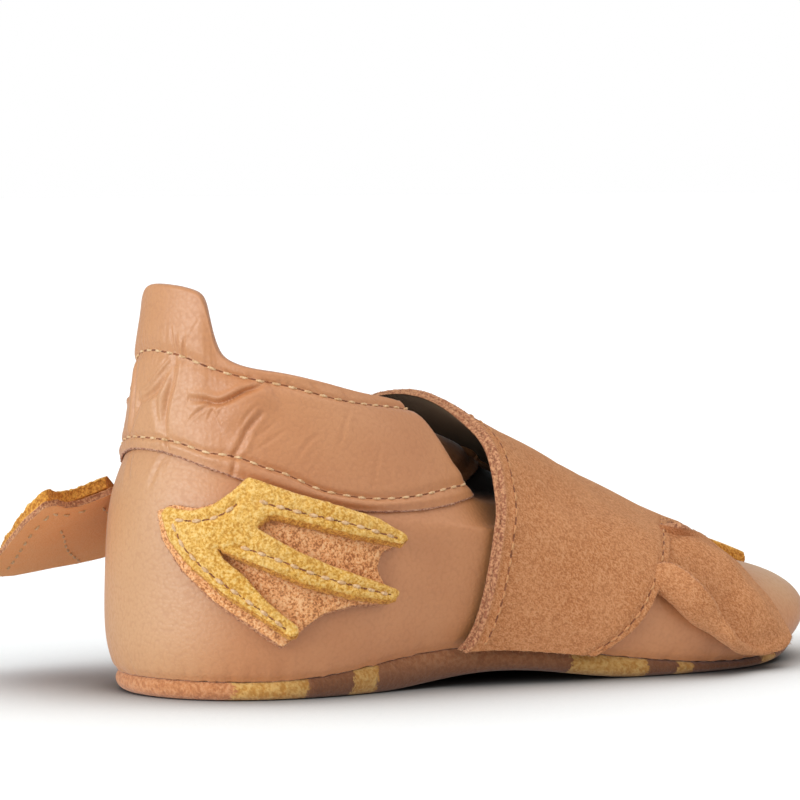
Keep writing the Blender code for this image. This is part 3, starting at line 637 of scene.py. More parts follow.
def lumps(flat, size, start):
    """Smooth random heights from -1 to 1: values drawn for the corners of a square lattice, blended softly
    inside each square."""
    drawn = np.random.default_rng(start).uniform(-1, 1, (LATTICE, LATTICE))
    at = np.asarray(flat) / size
    cell = np.floor(at).astype(int)
    part = soft_step(at - cell)
    a, b = part[..., 0], part[..., 1]
    i, j = cell[..., 0] % LATTICE, cell[..., 1] % LATTICE
    k, m = (i + 1) % LATTICE, (j + 1) % LATTICE
    return (1 - b) * ((1 - a) * drawn[i, j] + a * drawn[k, j]) + b * ((1 - a) * drawn[i, m] + a * drawn[k, m])


def grid_quads(rows, columns, closed):
    """Quads of a grid held row by row; a closed grid joins its last row to its first."""
    i = np.arange(rows if closed else rows - 1)[:, None]
    k = np.arange(columns - 1)
    a = i * columns + k
    b = ((i + 1) % rows) * columns + k
    return np.stack([a, b, b + 1, a + 1], -1).reshape(-1, 4)


def grid_borders(rows, columns, closed):
    """Border loops of such a grid, each walked in the direction of its quads."""
    index = np.arange(rows * columns).reshape(rows, columns)
    if closed:
        return [index[:, 0], index[::-1, -1]]
    return [np.concatenate([index[:-1, 0], index[-1, :-1], index[:0:-1, -1], index[0, :0:-1]])]


def triangles(faces):
    """All faces as triangles."""
    parts = [face[:, (0, k, k + 1)] for face in faces for k in range(1, face.shape[1] - 1)]
    return np.concatenate(parts)


def wavy(place, *waves):
    """Uneven wave: a sum of sines, each given as (height, rate, start)."""
    return sum(height * np.sin(rate * place + start) for height, rate, start in waves)


def skin(outer, inner, faces, borders, edge, fibres=0.0):
    """Closed sheet: an outer and an inner copy of one sheet, joined round each border by rings that lie at
    shares of the thickness and are pushed outward by the given amounts, which waver as a cut does. Loose
    fibres, so many to a millimetre, stand on the edge."""
    outer = outer.reshape(-1, 3)
    inner = inner.reshape(-1, 3)
    count = len(outer)
    points = [outer, inner]
    cut = [np.zeros(count), np.zeros(count)]
    inside = [np.zeros(count), np.ones(count)]
    quads = []
    edges = []
    first = 2 * count
    for loop in borders:
        size = len(loop)
        top, low = outer[loop], inner[loop]
        ahead = np.roll(top, -1, 0) - np.roll(top, 1, 0)
        away = unit(np.cross(ahead, top - low))
        run = np.cumsum(np.linalg.norm(ahead, axis=1)) / 2
        waver = 1 + wavy(run, (0.35, 3.1, 0.4), (0.35, 5.3, 1.9), (0.3, 9.7, 0.8))
        cut[0][loop] = 0.5
        cut[1][loop] = 0.5
        rings = [loop]
        for number, (share, push) in enumerate(edge):
            ragged = FRAY * lumps(np.stack([run, np.full(size, number * 0.4)], -1), 0.4, 5)
            points.append(top + share * (low - top) + (push * waver + ragged)[:, None] * away)
            cut.append(np.ones(size))
            inside.append(np.zeros(size))
            rings.append(first + np.arange(size))
            first += size
        rings.append(loop + count)
        edges.append((top, low, away, int(fibres * run[-1])))
        for here, there in zip(rings[:-1], rings[1:]):
            quads.append(np.stack([np.roll(here, -1), here, there, np.roll(there, -1)], -1))
    points = np.concatenate(points)
    faces = facing_out(points, [faces, faces[:, ::-1] + count, np.concatenate(quads)])
    marks = {"cut": np.concatenate(cut), "inside": np.concatenate(inside)}
    for top, low, away, wanted in edges:
        if wanted:
            points, faces, marks = with_fibres(points, faces, marks, top, low, away, wanted)
    return points, faces, marks


def grid_skin(outer, inner, closed, edge, fibres=0.0):
    """Closed sheet from an outer and an inner grid of points."""
    size = outer.shape[:2]
    return skin(outer, inner, grid_quads(*size, closed), grid_borders(*size, closed), edge, fibres)


def with_fibres(points, faces, marks, top, low, away, wanted):
    """A piece with loose fibres added along one of its raw edges."""
    spikes, spike_faces = edge_fibres(top, low, away, wanted, len(points))
    more = np.full(len(spikes), FIBRE_MARK)
    marks = {"cut": np.concatenate([marks["cut"], more]), "inside": np.concatenate([marks["inside"], 0 * more])}
    return np.concatenate([points, spikes]), faces + [spike_faces], marks


def put_piece(name, points, faces, marks, material, node=None, slot=None):
    """Object from points on the stations and arrays of faces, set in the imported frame, faces outward."""
    faces = facing_out(points, faces)
    mesh = bpy.data.meshes.new(name)
    mesh.from_pydata(((points - STATION_ZERO) * MM).tolist(), [], [f for face in faces for f in face.tolist()])
    for mark, values in marks.items():
        mesh.attributes.new(mark, "FLOAT", "POINT").data.foreach_set("value", values.astype(np.float32))
    mesh.polygons.foreach_set("use_smooth", np.ones(len(mesh.polygons), bool))
    mesh.update()
    mesh.materials.append(material)
    piece = bpy.data.objects.new(name, mesh)
    bpy.context.scene.collection.objects.link(piece)
    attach(piece, "root")
    if node:
        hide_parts(node)
    return piece


def along_line(controls, step=0.4):
    """Smooth line through a few control points, with its points about a step apart."""
    controls = np.array(controls, float)
    knots = np.concatenate([[0], np.cumsum(np.linalg.norm(np.diff(controls, axis=0), axis=1))])
    places = np.linspace(0, knots[-1], max(int(knots[-1] / step), 8))
    return Spline(knots).at(places, controls)


def beside(points, line, normals):
    """Nearest place on a line for each point: distance, share of the line's length, and side (-1 or 1)."""
    flat = points.reshape(-1, 3)
    best = np.full(len(flat), 1e9)
    share = np.zeros(len(flat))
    side = np.ones(len(flat))
    sideways = np.cross(np.gradient(line, axis=0), normals)
    for k, at in enumerate(line):
        offset = flat - at
        distance = np.einsum("ij,ij->i", offset, offset)
        closer = distance < best
        best = np.where(closer, distance, best)
        share = np.where(closer, k / (len(line) - 1), share)
        side = np.where(closer, np.sign(offset @ sideways[k]), side)
    shape = points.shape[:-1]
    return np.sqrt(best).reshape(shape), share.reshape(shape), side.reshape(shape)


def crease_relief(points, creases):
    """Soft troughs with a swelling on each side: bell curves of the distance from each crease's line,
    fading out toward its ends."""
    relief = np.zeros(points.shape[:-1])
    for places, depth, width, swell, lean in creases:
        knots = np.linspace(0, 1, len(places))
        spots = Spline(knots).at(np.linspace(0, 1, 36), places)
        turn = np.radians(spots[:, 0])
        line, normals, up = UPPER.ring_frame(turn, level_at(turn, spots[:, 1]))
        distance, share, side = beside(points, line, normals)
        fade = np.sqrt(np.clip(np.sin(math.pi * np.clip(share, 0, 1)), 0, 1))
        trough = -depth * bell(distance / width)
        rise = swell * (1 + lean * side) * bell((distance - 2.3 * width) / (1.5 * width))
        relief += fade * (trough + rise)
    return relief


# Leather upper

def seam_pull(turn, level):
    """Leather drawn in at the sole seam, with small uneven gathers above it that die out up the wall."""
    height = FOOT_LEVEL_HEIGHT * level
    gathers = wavy(turn, (0.07, 61, 0.3), (0.06, 97, 1.1), (0.05, 139, 2.0))
    return -SEAM_PULL * bell(height / SEAM_PULL_HEIGHT) + gathers * bell(height / GATHER_HEIGHT)


def upper_face(turn, level):
    """Outer face of the upper and its normals; its foot reaches down to the sole's rim."""
    point, out, up = UPPER.ring_frame(turn, level)
    relief = seam_pull(turn, level) + crease_relief(point, QUARTER_CREASES)
    relief += wavy(point[..., 0], (0.10, 0.21, 0.5), (0.06, 0.47, 1.4)) * bell((level - 2.0) / 1.2)
    return point + relief[..., None] * out - seam_reach(level), out


def seam_reach(level):
    """How far the foot of the wall reaches down, fading out a little above the seam."""
    drop = FOOT_REACH * np.clip(1 - level / FOOT_LEVEL, 0, 1) ** 2
    return drop[..., None] * np.array([0.0, 0.0, 1.0])


def make_upper(material):
    """Wall of the upper on a grid of turns and levels, thinner where the band folds over its rim."""
    rows, columns = UPPER_GRID
    turns = np.arange(rows) * 2 * math.pi / rows
    levels = RIM * np.linspace(0, 1, columns) ** 1.1
    turn, level = np.meshgrid(turns, levels, indexing="ij")
    outer, out = upper_face(turn, level)
    wall = LEATHER + (RIM_LEATHER - LEATHER) * soft_step((level - THIN_FROM) / THIN_OVER)
    inner = UPPER.ring(turn, level) - wall[..., None] * out - seam_reach(level)
    points, faces, marks = grid_skin(outer, inner, True, CUT_EDGE)
    # painted shade on the collar where the strap hides it
    marks["shade"] = np.zeros(len(points))
    shade = tucked(np.degrees(from_heel(turn)), level, SHADE_AFTER, SHADE_RAMP)
    marks["shade"][:turn.size] = shade.ravel()
    return put_piece("upper_leather", points, faces, marks, material, "upper", "tan_leather")


# Collar band

def band_relief(turn, level, point):
    """Puffed between its two rows of stitches and below the lower one, pulled in along them, creased and
    gathered; the relief dies out at the rim."""
    low, high, edge = low_stitch(turn), top_stitch(turn), band_edge(turn)
    share = np.clip((level - low) / (high - low), 0, 1)
    hem = np.clip((level - edge) / (low - edge), 0, 1)
    from_low = (level - low) * LEVEL_HEIGHT
    from_top = (level - high) * LEVEL_HEIGHT
    puff = BAND_PUFF * np.sin(math.pi * share) + HEM_PUFF * np.sin(math.pi * hem) - HEM_PRESS * (1 - hem)
    pull = -LOW_PULL * bell(from_low / PULL_WIDTH) - TOP_PULL * bell(from_top / PULL_WIDTH)
    ruffle = wavy(turn, (0.02, 83, 0.2), (0.015, 127, 1.7), (0.015, 171, 0.9))
    ruffle = ruffle * bell(np.minimum(abs(from_low), abs(from_top)) / RUFFLE_REACH)
    pleats = np.zeros_like(level)
    for at in PLEAT_TURNS:
        pleats -= PLEAT_DEPTH * bell((from_heel(turn) - math.radians(at)) * BAND_RADIUS / PLEAT_WIDTH)
    pleats = pleats * np.clip((level - high) / PLEAT_RISE, 0, 1)
    far = []
    for places, *shape in (BAND_CREASES[k] for k in FAR_CREASES):
        far.append(([(-FAR_STRETCH * at, height) for at, height in places], *shape))
    relief = puff + pull + ruffle + pleats + crease_relief(point, BAND_CREASES + tuple(far))
    return np.maximum(relief, -RELIEF_DEEPEST) * (1 - soft_step((level - RIM + RELIEF_FADE) / RELIEF_FADE))


def band_face(turn, level, depth=BAND_LEATHER):
    """Face of the band at a depth above its back, and its normals; the relief acts on the outer face and the
    band grows thinner toward the rim."""
    point, out, up = UPPER.ring_frame(turn, level)
    thin = soft_step((level - RIM + BAND_THIN) / BAND_THIN)
    flat = 1 - soft_step((level - band_edge(turn)) / HEM_THIN)
    gap = GAP + (RIM_GAP - GAP) * np.maximum(thin, flat)
    deep = depth * (1 + (RIM_BAND / BAND_LEATHER - 1) * np.maximum(thin, flat))
    if np.max(depth) > 0:
        deep = deep + band_relief(turn, level, point) * depth / BAND_LEATHER
    return point + (gap + deep)[..., None] * out, out


def band_fold(turn, walk, depth):
    """Band over the rim (walk 1 to 2, half an ellipse) and down the inside (walk 2 to 3)."""
    level = RIM - FOLD_DOWN * np.clip(walk - 2, 0, 1)
    point, out, up = UPPER.ring_frame(turn, level)
    deep = depth * RIM_BAND / BAND_LEATHER
    half = RIM_GAP + RIM_LEATHER / 2 + deep + FOLD_OPEN * np.clip(walk - 2, 0, 1)
    angle = math.pi * np.clip(walk - 1, 0, 1)
    offset = -RIM_LEATHER / 2 + half * np.cos(angle)
    rise = (0.1 + 0.7 * deep) * np.sin(angle)
    return point + offset[..., None] * out + rise[..., None] * up


def band_columns(turns, walks, depth):
    """Band's points at all turns for one list of walks: 0 at its lower edge, 1 at the rim, then folded."""
    low = band_edge(turns)[:, None]
    flat = walks[walks <= 1]
    turn, level = np.broadcast_arrays(turns[:, None], low + (RIM - low) * flat)
    wall = band_face(turn, level, np.full(level.shape, depth))[0]
    turn, walk = np.meshgrid(turns, walks[walks > 1], indexing="ij")
    folded = band_fold(turn, walk, np.full(walk.shape, depth))
    return np.concatenate([wall, folded], 1)


def make_band(material):
    """Gathered collar band, folded over the rim: its whole outline, out and back, carried round the shoe.
    Turns are closer together on the near side and the heel."""
    even = np.arange(BAND_TURNS) / BAND_TURNS
    crowded = 0.045 * np.sin(4 * math.pi * even) + 0.05 * np.sin(2 * math.pi * (even - 0.08))
    turns = 2 * math.pi * (even - crowded)
    share = np.linspace(0, 1, BAND_STEPS)
    outside = 0.2 * np.sin(math.pi / 2 * share) + 0.8 * share
    over = np.concatenate([1 + np.linspace(0, 1, 12)[1:], 2 + np.linspace(0, 1, 6)[1:]])
    front = band_columns(turns, np.concatenate([outside, over]), BAND_LEATHER)
    back = band_columns(turns, np.array([0, 0.12, 0.35, 0.65, 0.85, 1, 1.25, 1.5, 1.75, 2, 2.5, 3.0]), 0.0)
    top, low = front[:, 0], back[:, 0]
    away = unit(np.cross(np.roll(top, -1, 0) - np.roll(top, 1, 0), low - top))
    away *= -np.sign(away[:, 2:])
    run = np.cumsum(np.linalg.norm(np.diff(top, axis=0, append=top[:1]), axis=1))
    hem = []
    for number, (share, push) in enumerate(CUT_EDGE[::-1]):
        ragged = push + HEM_FRAY * lumps(np.stack([run, np.full(len(run), number * 0.4)], -1), 0.45, 9)
        hem.append(top + share * (low - top) + ragged[:, None] * away)
    inner = (front[:, -1:] + back[:, -1:]) / 2
    points = np.concatenate([front, inner, back[:, ::-1], np.stack(hem, 1)], 1)
    rows, columns = points.shape[:2]
    i, k = np.meshgrid(np.arange(rows), np.arange(columns), indexing="ij")
    j, m = (i + 1) % rows, (k + 1) % columns
    faces = np.stack([i * columns + k, j * columns + k, j * columns + m, i * columns + m], -1).reshape(-1, 4)
    cut = np.zeros((rows, columns))
    cut[:, -len(hem):] = 1.0
    cut[:, :2] = HEM_MARKS
    rim = np.concatenate([np.zeros(len(outside)), np.sin(math.pi * (over - 1)) * (over < 2)])
    cut[:, :len(rim)] += RIM_MARK * np.clip(rim, 0, 1)
    inside = np.zeros((rows, columns))
    inside[:, len(outside) + 9:-len(hem)] = 1.0
    # painted shade on the band where the strap hides it
    shade = np.zeros((rows, columns))
    spots = np.meshgrid(np.degrees(from_heel(turns)), TUCK_LEVEL + outside * (RIM - TUCK_LEVEL), indexing="ij")
    shade[:, :len(outside)] = tucked(*spots, SHADE_AFTER, SHADE_RAMP)
    points = points.reshape(-1, 3)
    marks = {"cut": cut.ravel(), "inside": inside.ravel(), "shade": shade.ravel()}
    made = with_fibres(points, facing_out(points, [faces]), marks, top, low, away, BAND_FIBRES)
    return put_piece("collar_band_leather", *made, material, "collar_band", "tan_leather")


# Instep strap

def strap_edges(across):
    """Front and back edge of the strap by the place across it."""
    reach = np.sqrt(across ** 2 + STRAP_RIDGE ** 2) - STRAP_RIDGE * (1 - across ** 2)
    front = strap_front(np.clip(np.abs(reach), 0, 1))
    back = STRAP_BACK_SEAM + STRAP_BACK_SWING * (1 - np.clip(across ** 2, 0, 1)) ** STRAP_BACK_POWER
    return front, back


def strap_face(x, across):
    """Outer face of the strap and its normals: soft along its stitched edges, a little uneven between."""
    point, out = STRAP.section_frame(x, across)
    front, back = strap_edges(across)
    pull = bell((x - back - STRAP_PULL_BACK) / STRAP_PULL_WIDTH)
    pull = -STRAP_PULL * (pull + bell((front - FRONT_STITCH - x) / STRAP_PULL_WIDTH))
    rolled = STRAP_FLARE * np.exp(-(x - back) / STRAP_FLARE_REACH) - 0.25 * np.exp(-(front - x) / 0.5)
    uneven = wavy(x + 30 * across, (0.10, 0.33, 0.4), (0.07, 0.71, 1.2)) * (1 - across ** 2)
    return point + (STRAP_LIFT + STRAP_LEATHER + pull + rolled + uneven)[..., None] * out, out


def make_strap(material):
    """Strap on a grid of places across and shares from its back edge to its front edge."""
    share = np.linspace(0, 1, STRAP_STEPS)
    half = STRAP_REACH * (1 - 0.985 * share ** 1.7)
    across = np.concatenate([-half, half[-2::-1]])
    across[STRAP_STEPS - 1] = 0.0
    share = 0.45 * share + 0.55 * (0.5 - 0.5 * np.cos(math.pi * share))
    front, back = strap_edges(across)
    x = back[:, None] + (front - back)[:, None] * share
    wide = np.broadcast_to(across[:, None], x.shape)
    slanted = x + STRAP_SLANT * (1 - share) ** 3
    outer, out = strap_face(slanted, wide)
    lift = STRAP_LIFT + STRAP_FLARE * np.exp(-(x - back[:, None]) / STRAP_FLARE_REACH)
    inner = STRAP.section(x, wide) + lift[..., None] * out
    rows, columns = x.shape
    faces = grid_quads(rows, columns, False)[:, ::-1]
    borders = [loop[::-1] for loop in grid_borders(rows, columns, False)]
    points, faces, marks = skin(outer, inner, faces, borders, SEWN_EDGE, STRAP_FIBRES)
    # painted shade over the strap's whole inner face
    marks["shade"] = marks["inside"]
    return put_piece("instep_strap_suede", points, faces, marks, material, "instep_strap", "tan_suede")


# Toe flap and horn

def make_flap(material):
    """Curled petal: the product of a spline along its sections and one round them, with a soft wave."""
    along, around = (np.linspace(0, 1, count) for count in FLAP_GRID)
    table = np.array(FLAP_SECTIONS)
    roll = np.array(FLAP_ROLL) * np.array(FLAP_ROLL_SHARES)[:, None, None]
    rolled = (table[:, 3:4] + table[:, 4:]) / 2 + roll
    table = np.concatenate([table[:, :4], rolled, table[:, 4:]], 1)
    lengthwise = Spline(np.linspace(0, 1, len(table))).weights(along)
    crosswise = Spline(FLAP_PLACES).weights(around)
    point = np.einsum("ia,jb,abk->ijk", lengthwise, crosswise, table)
    out = unit(np.cross(np.gradient(point, axis=0), np.gradient(point, axis=1)))
    wave = wavy(along[:, None] * 14 + around * 5, (0.14, 1.0, 0.3), (0.08, 2.3, 1.1))
    wave = wave * np.sin(math.pi * along)[:, None] ** 0.5
    point = point + wave[..., None] * out
    half = out * SUEDE / 2
    points, faces, marks = grid_skin(point + half, point - half, False, CUT_EDGE, FLAP_FIBRES)
    rims = np.zeros(FLAP_GRID)
    rims[:, [0, 1, 2, -3, -2, -1]] = 0.6, 0.55, 0.4, 0.4, 0.55, 0.6
    marks["cut"][:2 * rims.size] = np.maximum(marks["cut"][:2 * rims.size], np.tile(rims.ravel(), 2))
    return put_piece("toe_flap_suede", points, faces, marks, material, "toe_flap", "tan_suede")


def make_horn(material):
    """Stub of thick suede: a strip bent across, thicker in its middle, sloping down to its free end."""
    share = np.linspace(0, 1, HORN_STEPS)[:, None]
    across = np.linspace(-1, 1, HORN_STEPS)[None, :]
    width = HORN_HALF_WIDTH * (1 - 0.12 * share ** 3)
    x = HORN_FROM + (HORN_TO - HORN_FROM) * (share - 0.06 * across ** 4 * share)
    y = -SWING * ((x - SWING_FROM) / 80) ** 2 + width * across
    z = HORN_BASE + (HORN_END - HORN_BASE) * share - (width * across) ** 2 / (2 * HORN_ROUND)
    low = np.stack(np.broadcast_arrays(x, y, z), -1)
    swell = 0.15 * np.cos(math.pi * across / 2) * np.sin(math.pi * share)
    high = low + np.array([0.0, 0.0, 1.0]) * (HORN_THICK + swell)[..., None]
    points, faces, marks = grid_skin(high, low, False, CUT_EDGE, HORN_FIBRES)
    return put_piece("toe_horn_suede", points, faces, marks, material, "toe_horn", "yellow_suede")


# Wings

def smooth_outline(outline, soft=0.4):
    """Closed outline of straight pieces with its corners rounded: points a tenth of a millimetre apart,
    averaged round the loop with bell-shaped weights, every third one kept."""
    corners = np.array(outline, float)
    corners = np.concatenate([corners, corners[:1]])
    run = np.concatenate([[0], np.cumsum(np.linalg.norm(np.diff(corners, axis=0), axis=1))])
    places = np.linspace(0, run[-1], 3 * int(run[-1] / 0.3), endpoint=False)
    dense = np.stack([np.interp(places, run, corners[:, k]) for k in range(2)], -1)
    reach = np.arange(-10, 11)
    weights = bell(reach * 0.1 / soft)
    spread = sum(w * np.roll(dense, k, 0) for k, w in zip(reach, weights / weights.sum()))
    return spread[::3]


def outline_distance(points, outline):
    """Distance of flat points from a closed outline of straight pieces, and whether each lies inside it."""
    best = np.full(len(points), 1e9)
    crossings = np.zeros(len(points), int)
    for a, b in zip(outline, np.roll(outline, -1, 0)):
        span = b - a
        share = np.clip((points - a) @ span / (span @ span), 0, 1)
        best = np.minimum(best, np.linalg.norm(points - a - share[:, None] * span, axis=1))
        reach = (a[1] > points[:, 1]) != (b[1] > points[:, 1])
        rise = np.where(abs(span[1]) > 1e-12, span[1], 1e-12)
        crossings += reach & (points[:, 0] < a[0] + (points[:, 1] - a[1]) * span[0] / rise)
    return best, crossings % 2 == 1


def leaf_sheet(outline):
    """Flat leaf: its outline, and inside it rows of points set like bricks, joined into triangles."""
    edge = smooth_outline(outline)
    low, high = edge.min(0), edge.max(0)
    rows = np.arange(low[1], high[1], LEAF_CELL * 0.87)
    across = np.arange(low[0], high[0], LEAF_CELL)
    s, z = np.meshgrid(across, rows)
    s = s + LEAF_CELL / 2 * (np.arange(len(rows)) % 2)[:, None]
    spots = np.stack([s.ravel(), z.ravel()], -1)
    away, inside = outline_distance(spots, edge)
    spots = np.concatenate([edge, spots[inside & (away > LEAF_CLEAR)]])
    ring = np.arange(len(edge))
    rim = np.stack([ring, np.roll(ring, -1)], -1).tolist()
    made = delaunay_2d_cdt([Vector(p) for p in spots.tolist()], rim, [], 1, 1e-6)
    points = np.array([tuple(p) for p in made[0]])
    faces = np.array(made[2])
    distance = outline_distance(points, edge)[0]
    faces = faces[outline_distance(points[faces].mean(1), edge)[1]]
    corners = points[faces]
    sides = corners[:, 1:] - corners[:, :1]
    turned = sides[:, 0, 0] * sides[:, 1, 1] - sides[:, 0, 1] * sides[:, 1, 0] < 0
    faces[turned] = faces[turned][:, ::-1]
    return points, faces, ring, distance


def on_near_wall(leaf):
    """Points of a flat leaf laid on the near quarter, its tips standing off a little, and the normals."""
    turns = np.linspace(0, math.pi, 1441)
    line = UPPER.ring(turns, WALL_LEVEL)
    length = np.concatenate([[0], np.cumsum(np.linalg.norm(np.diff(line, axis=0), axis=1))])
    turn = np.interp(leaf[:, 0], length, turns)
    point, out, up = UPPER.ring_frame(turn, level_at(turn, leaf[:, 1], high=WALL_TOP))
    lift = LEAF_LIFT * np.clip((ROOT_Z - 4 - leaf[:, 1]) / (ROOT_Z - 4 - LEAF_LOW), 0, 1) ** 2
    lift = lift + wavy(leaf[:, 0], (0.10, 0.55, 0.2), (0.07, 1.1, 1.0))
    return point + np.maximum(lift, 0)[:, None] * out, out


def on_far_leaf(leaf):
    """Points of a flat leaf held open on the far side, curling outward with the square of the drop."""
    heading, fall, lean = (math.radians(a) for a in (FAR_HEADING, -FAR_FALL, FAR_LEAN))
    along = np.array([math.cos(heading) * math.cos(fall), math.sin(heading) * math.cos(fall), math.sin(fall)])
    level = np.array([-math.sin(heading), math.cos(heading), 0.0])
    upright = np.cross(along, level)
    out = math.cos(lean) * level + math.sin(lean) * upright
    up = math.cos(lean) * upright - math.sin(lean) * level
    drop = FAR_REACH * (ROOT_Z - leaf[:, 1])
    point = np.array(FAR_ROOT) + (leaf[:, :1] - ROOT_S) * along - drop[:, None] * up
    point = point + (FAR_CURL * np.maximum(drop, 0) ** 2)[:, None] * out
    return point, np.broadcast_to(out, point.shape)


def on_far_ribs(leaf):
    """The far leaf's ribs, moved over the web's upper edge."""
    return on_far_leaf(leaf + np.array(FAR_RIB_SHIFT))


def line_distance(points, lines):
    """Distance of flat points from the nearest of several open lines."""
    best = np.full(len(points), 1e9)
    for line in lines:
        for at in along_line(line, 0.3):
            best = np.minimum(best, np.linalg.norm(points - at, axis=1))
    return best


def rib_height(points, distance):
    """Ribs are padded away from their edge, pulled down along their stitches and covered with tufts."""
    padded = RIB_PAD + RIB_RISE * (1 - np.exp(-distance / 0.7)) - RIB_DROP * np.exp(-distance / 0.2)
    tufts = 0.14 * lumps(points, 0.6, 11) + 0.1 * lumps(points, 0.37, 12)
    return padded + tufts - RIB_PULL * bell(line_distance(points, RIB_STITCHES) / RIB_PULL_WIDTH)


def make_leaf(name, outline, lay, low, relief, slant, material, node, slot):
    """Leaf of suede laid by the given rule at a height above it, its lower edges cut at a slant."""
    flat, faces, ring, distance = leaf_sheet(outline)
    base, out = lay(flat)
    height = low + SUEDE + relief(flat, distance)
    foot, out_foot = lay(flat + np.array(slant))
    top = base + height[:, None] * out
    made = skin(top, foot + low * out_foot, faces, [ring], CUT_EDGE, LEAF_FIBRES)
    return put_piece(name, *made, material, node, slot)


def web_height(points, distance):
    """The web is rounded at its edge and a little rough."""
    return 0.06 * lumps(points, 0.6, 13) - 0.2 * np.exp(-distance / 0.3)


# Sole and insole

def inset_ring(turn, inset, height):
    """Ring round the sole, drawn in from the seam by a distance."""
    point = UPPER.ring(turn, 0.0)
    ahead = UPPER.ring(turn + 1e-3, 0.0) - UPPER.ring(turn - 1e-3, 0.0)
    inward = unit(np.stack([ahead[..., 1], -ahead[..., 0], np.zeros_like(ahead[..., 0])], -1))
    inward *= np.sign((inward[..., :2] * (SOLE_MIDDLE - point[..., :2])).sum(-1))[..., None]
    moved = point + np.asarray(inset)[..., None] * inward
    moved[..., 2] = height(point[..., 0])
    return moved


def close_ring(points, first, ring, height):
    """Face closing a ring whose points are in the list already, first being the index of its first: lines
    from each near point straight over to the far point opposite. Adds the inner points and gives the quads
    and triangles."""
    count = len(ring)
    near = np.arange(1, count // 2)
    share = np.linspace(0, 1, CLOSE_COLUMNS)[1:-1]
    a, b = ring[near][:, None], ring[count - near][:, None]
    inner = a + (b - a) * share[:, None]
    inner[..., 2] = height(inner[..., 0])
    index = sum(len(p) for p in points) + np.arange(inner[..., 0].size).reshape(inner.shape[:2])
    points.append(inner.reshape(-1, 3))
    lines = np.concatenate([(first + near)[:, None], index, (first + count - near)[:, None]], 1)
    quads = np.stack([lines[:-1, :-1], lines[1:, :-1], lines[1:, 1:], lines[:-1, 1:]], -1).reshape(-1, 4)
    end = np.full(CLOSE_COLUMNS - 1, first)
    heel = np.stack([end, lines[0, :-1], lines[0, 1:]], -1)
    toe = np.stack([end + count // 2, lines[-1, 1:], lines[-1, :-1]], -1)
    return quads, np.concatenate([heel, toe])


def stacked_piece(profile, lower, upper):
    """Closed solid from a profile carried round the sole: rows of inset and a height rule; its two end
    rings are closed across."""
    turns = np.arange(SOLE_TURNS) * 2 * math.pi / SOLE_TURNS
    rings = [inset_ring(turns, np.full(SOLE_TURNS, inset), height) for inset, height in profile]
    points = list(rings)
    count = len(turns)
    walls = grid_quads(len(rings), count, False)
    i = np.arange(len(rings) - 1) * count
    seam = np.stack([i + count - 1, i + 2 * count - 1, i + count, i], -1)
    quads_a, tris_a = close_ring(points, 0, rings[0], upper)
    quads_b, tris_b = close_ring(points, (len(rings) - 1) * count, rings[-1], lower)
    faces = [np.concatenate([walls, seam]), quads_a[:, ::-1], tris_a[:, ::-1], quads_b, tris_b]
    return np.concatenate(points), faces


def sole_profile():
    """Sole's cross profile made smooth: rows of inset and a rule for the height at a station."""
    count = len(SOLE_PROFILE)
    fine = Spline(np.arange(count)).at(np.linspace(0, count - 1, SOLE_STEPS), SOLE_PROFILE)

    def rule(share, lift):
        def height(x):
            base = floor_height(x) + lift * SOLE_SUEDE
            return base + np.clip(share, 0, SOLE_HIGHEST) * (seam_height(x) - GAP - base)
        return height
    return [(inset, rule(share, lift)) for inset, share, lift in fine]


def make_sole(material):
    """Tray of suede: its profile carried round the shoe."""
    points, faces = stacked_piece(sole_profile(), floor_height, lambda x: floor_height(x) + SOLE_SUEDE)
    return put_piece("sole_suede", points, faces, {}, material, "sole", "sole_suede")


def make_insole(material):
    """Felt lying on the sole: its profile carried round the shoe."""
    def rule(share):
        return lambda x: floor_height(x) + SOLE_SUEDE + GAP + share * INSOLE_FELT
    profile = [(inset, rule(share)) for inset, share in INSOLE_PROFILE]
    points, faces = stacked_piece(profile, rule(0.0), rule(1.0))
    return put_piece("insole_felt", points, faces, {}, material, "insole", "insole_felt")


# Stitches

def stitch_places(path, length, start, samples=9):
    """Rows of close points, one row a stitch, evenly spaced along a path of points in space; gives
    shares of the path's length."""
    run = np.concatenate([[0], np.cumsum(np.linalg.norm(np.diff(path, axis=0), axis=1))])
    count = max(int(run[-1] / STITCH_STEP), 1)
    middles = (np.arange(count) + start) * run[-1] / count
    reach = np.linspace(-0.5, 0.5, samples) * length
    return run, np.clip(middles[:, None] + reach, 0, run[-1])


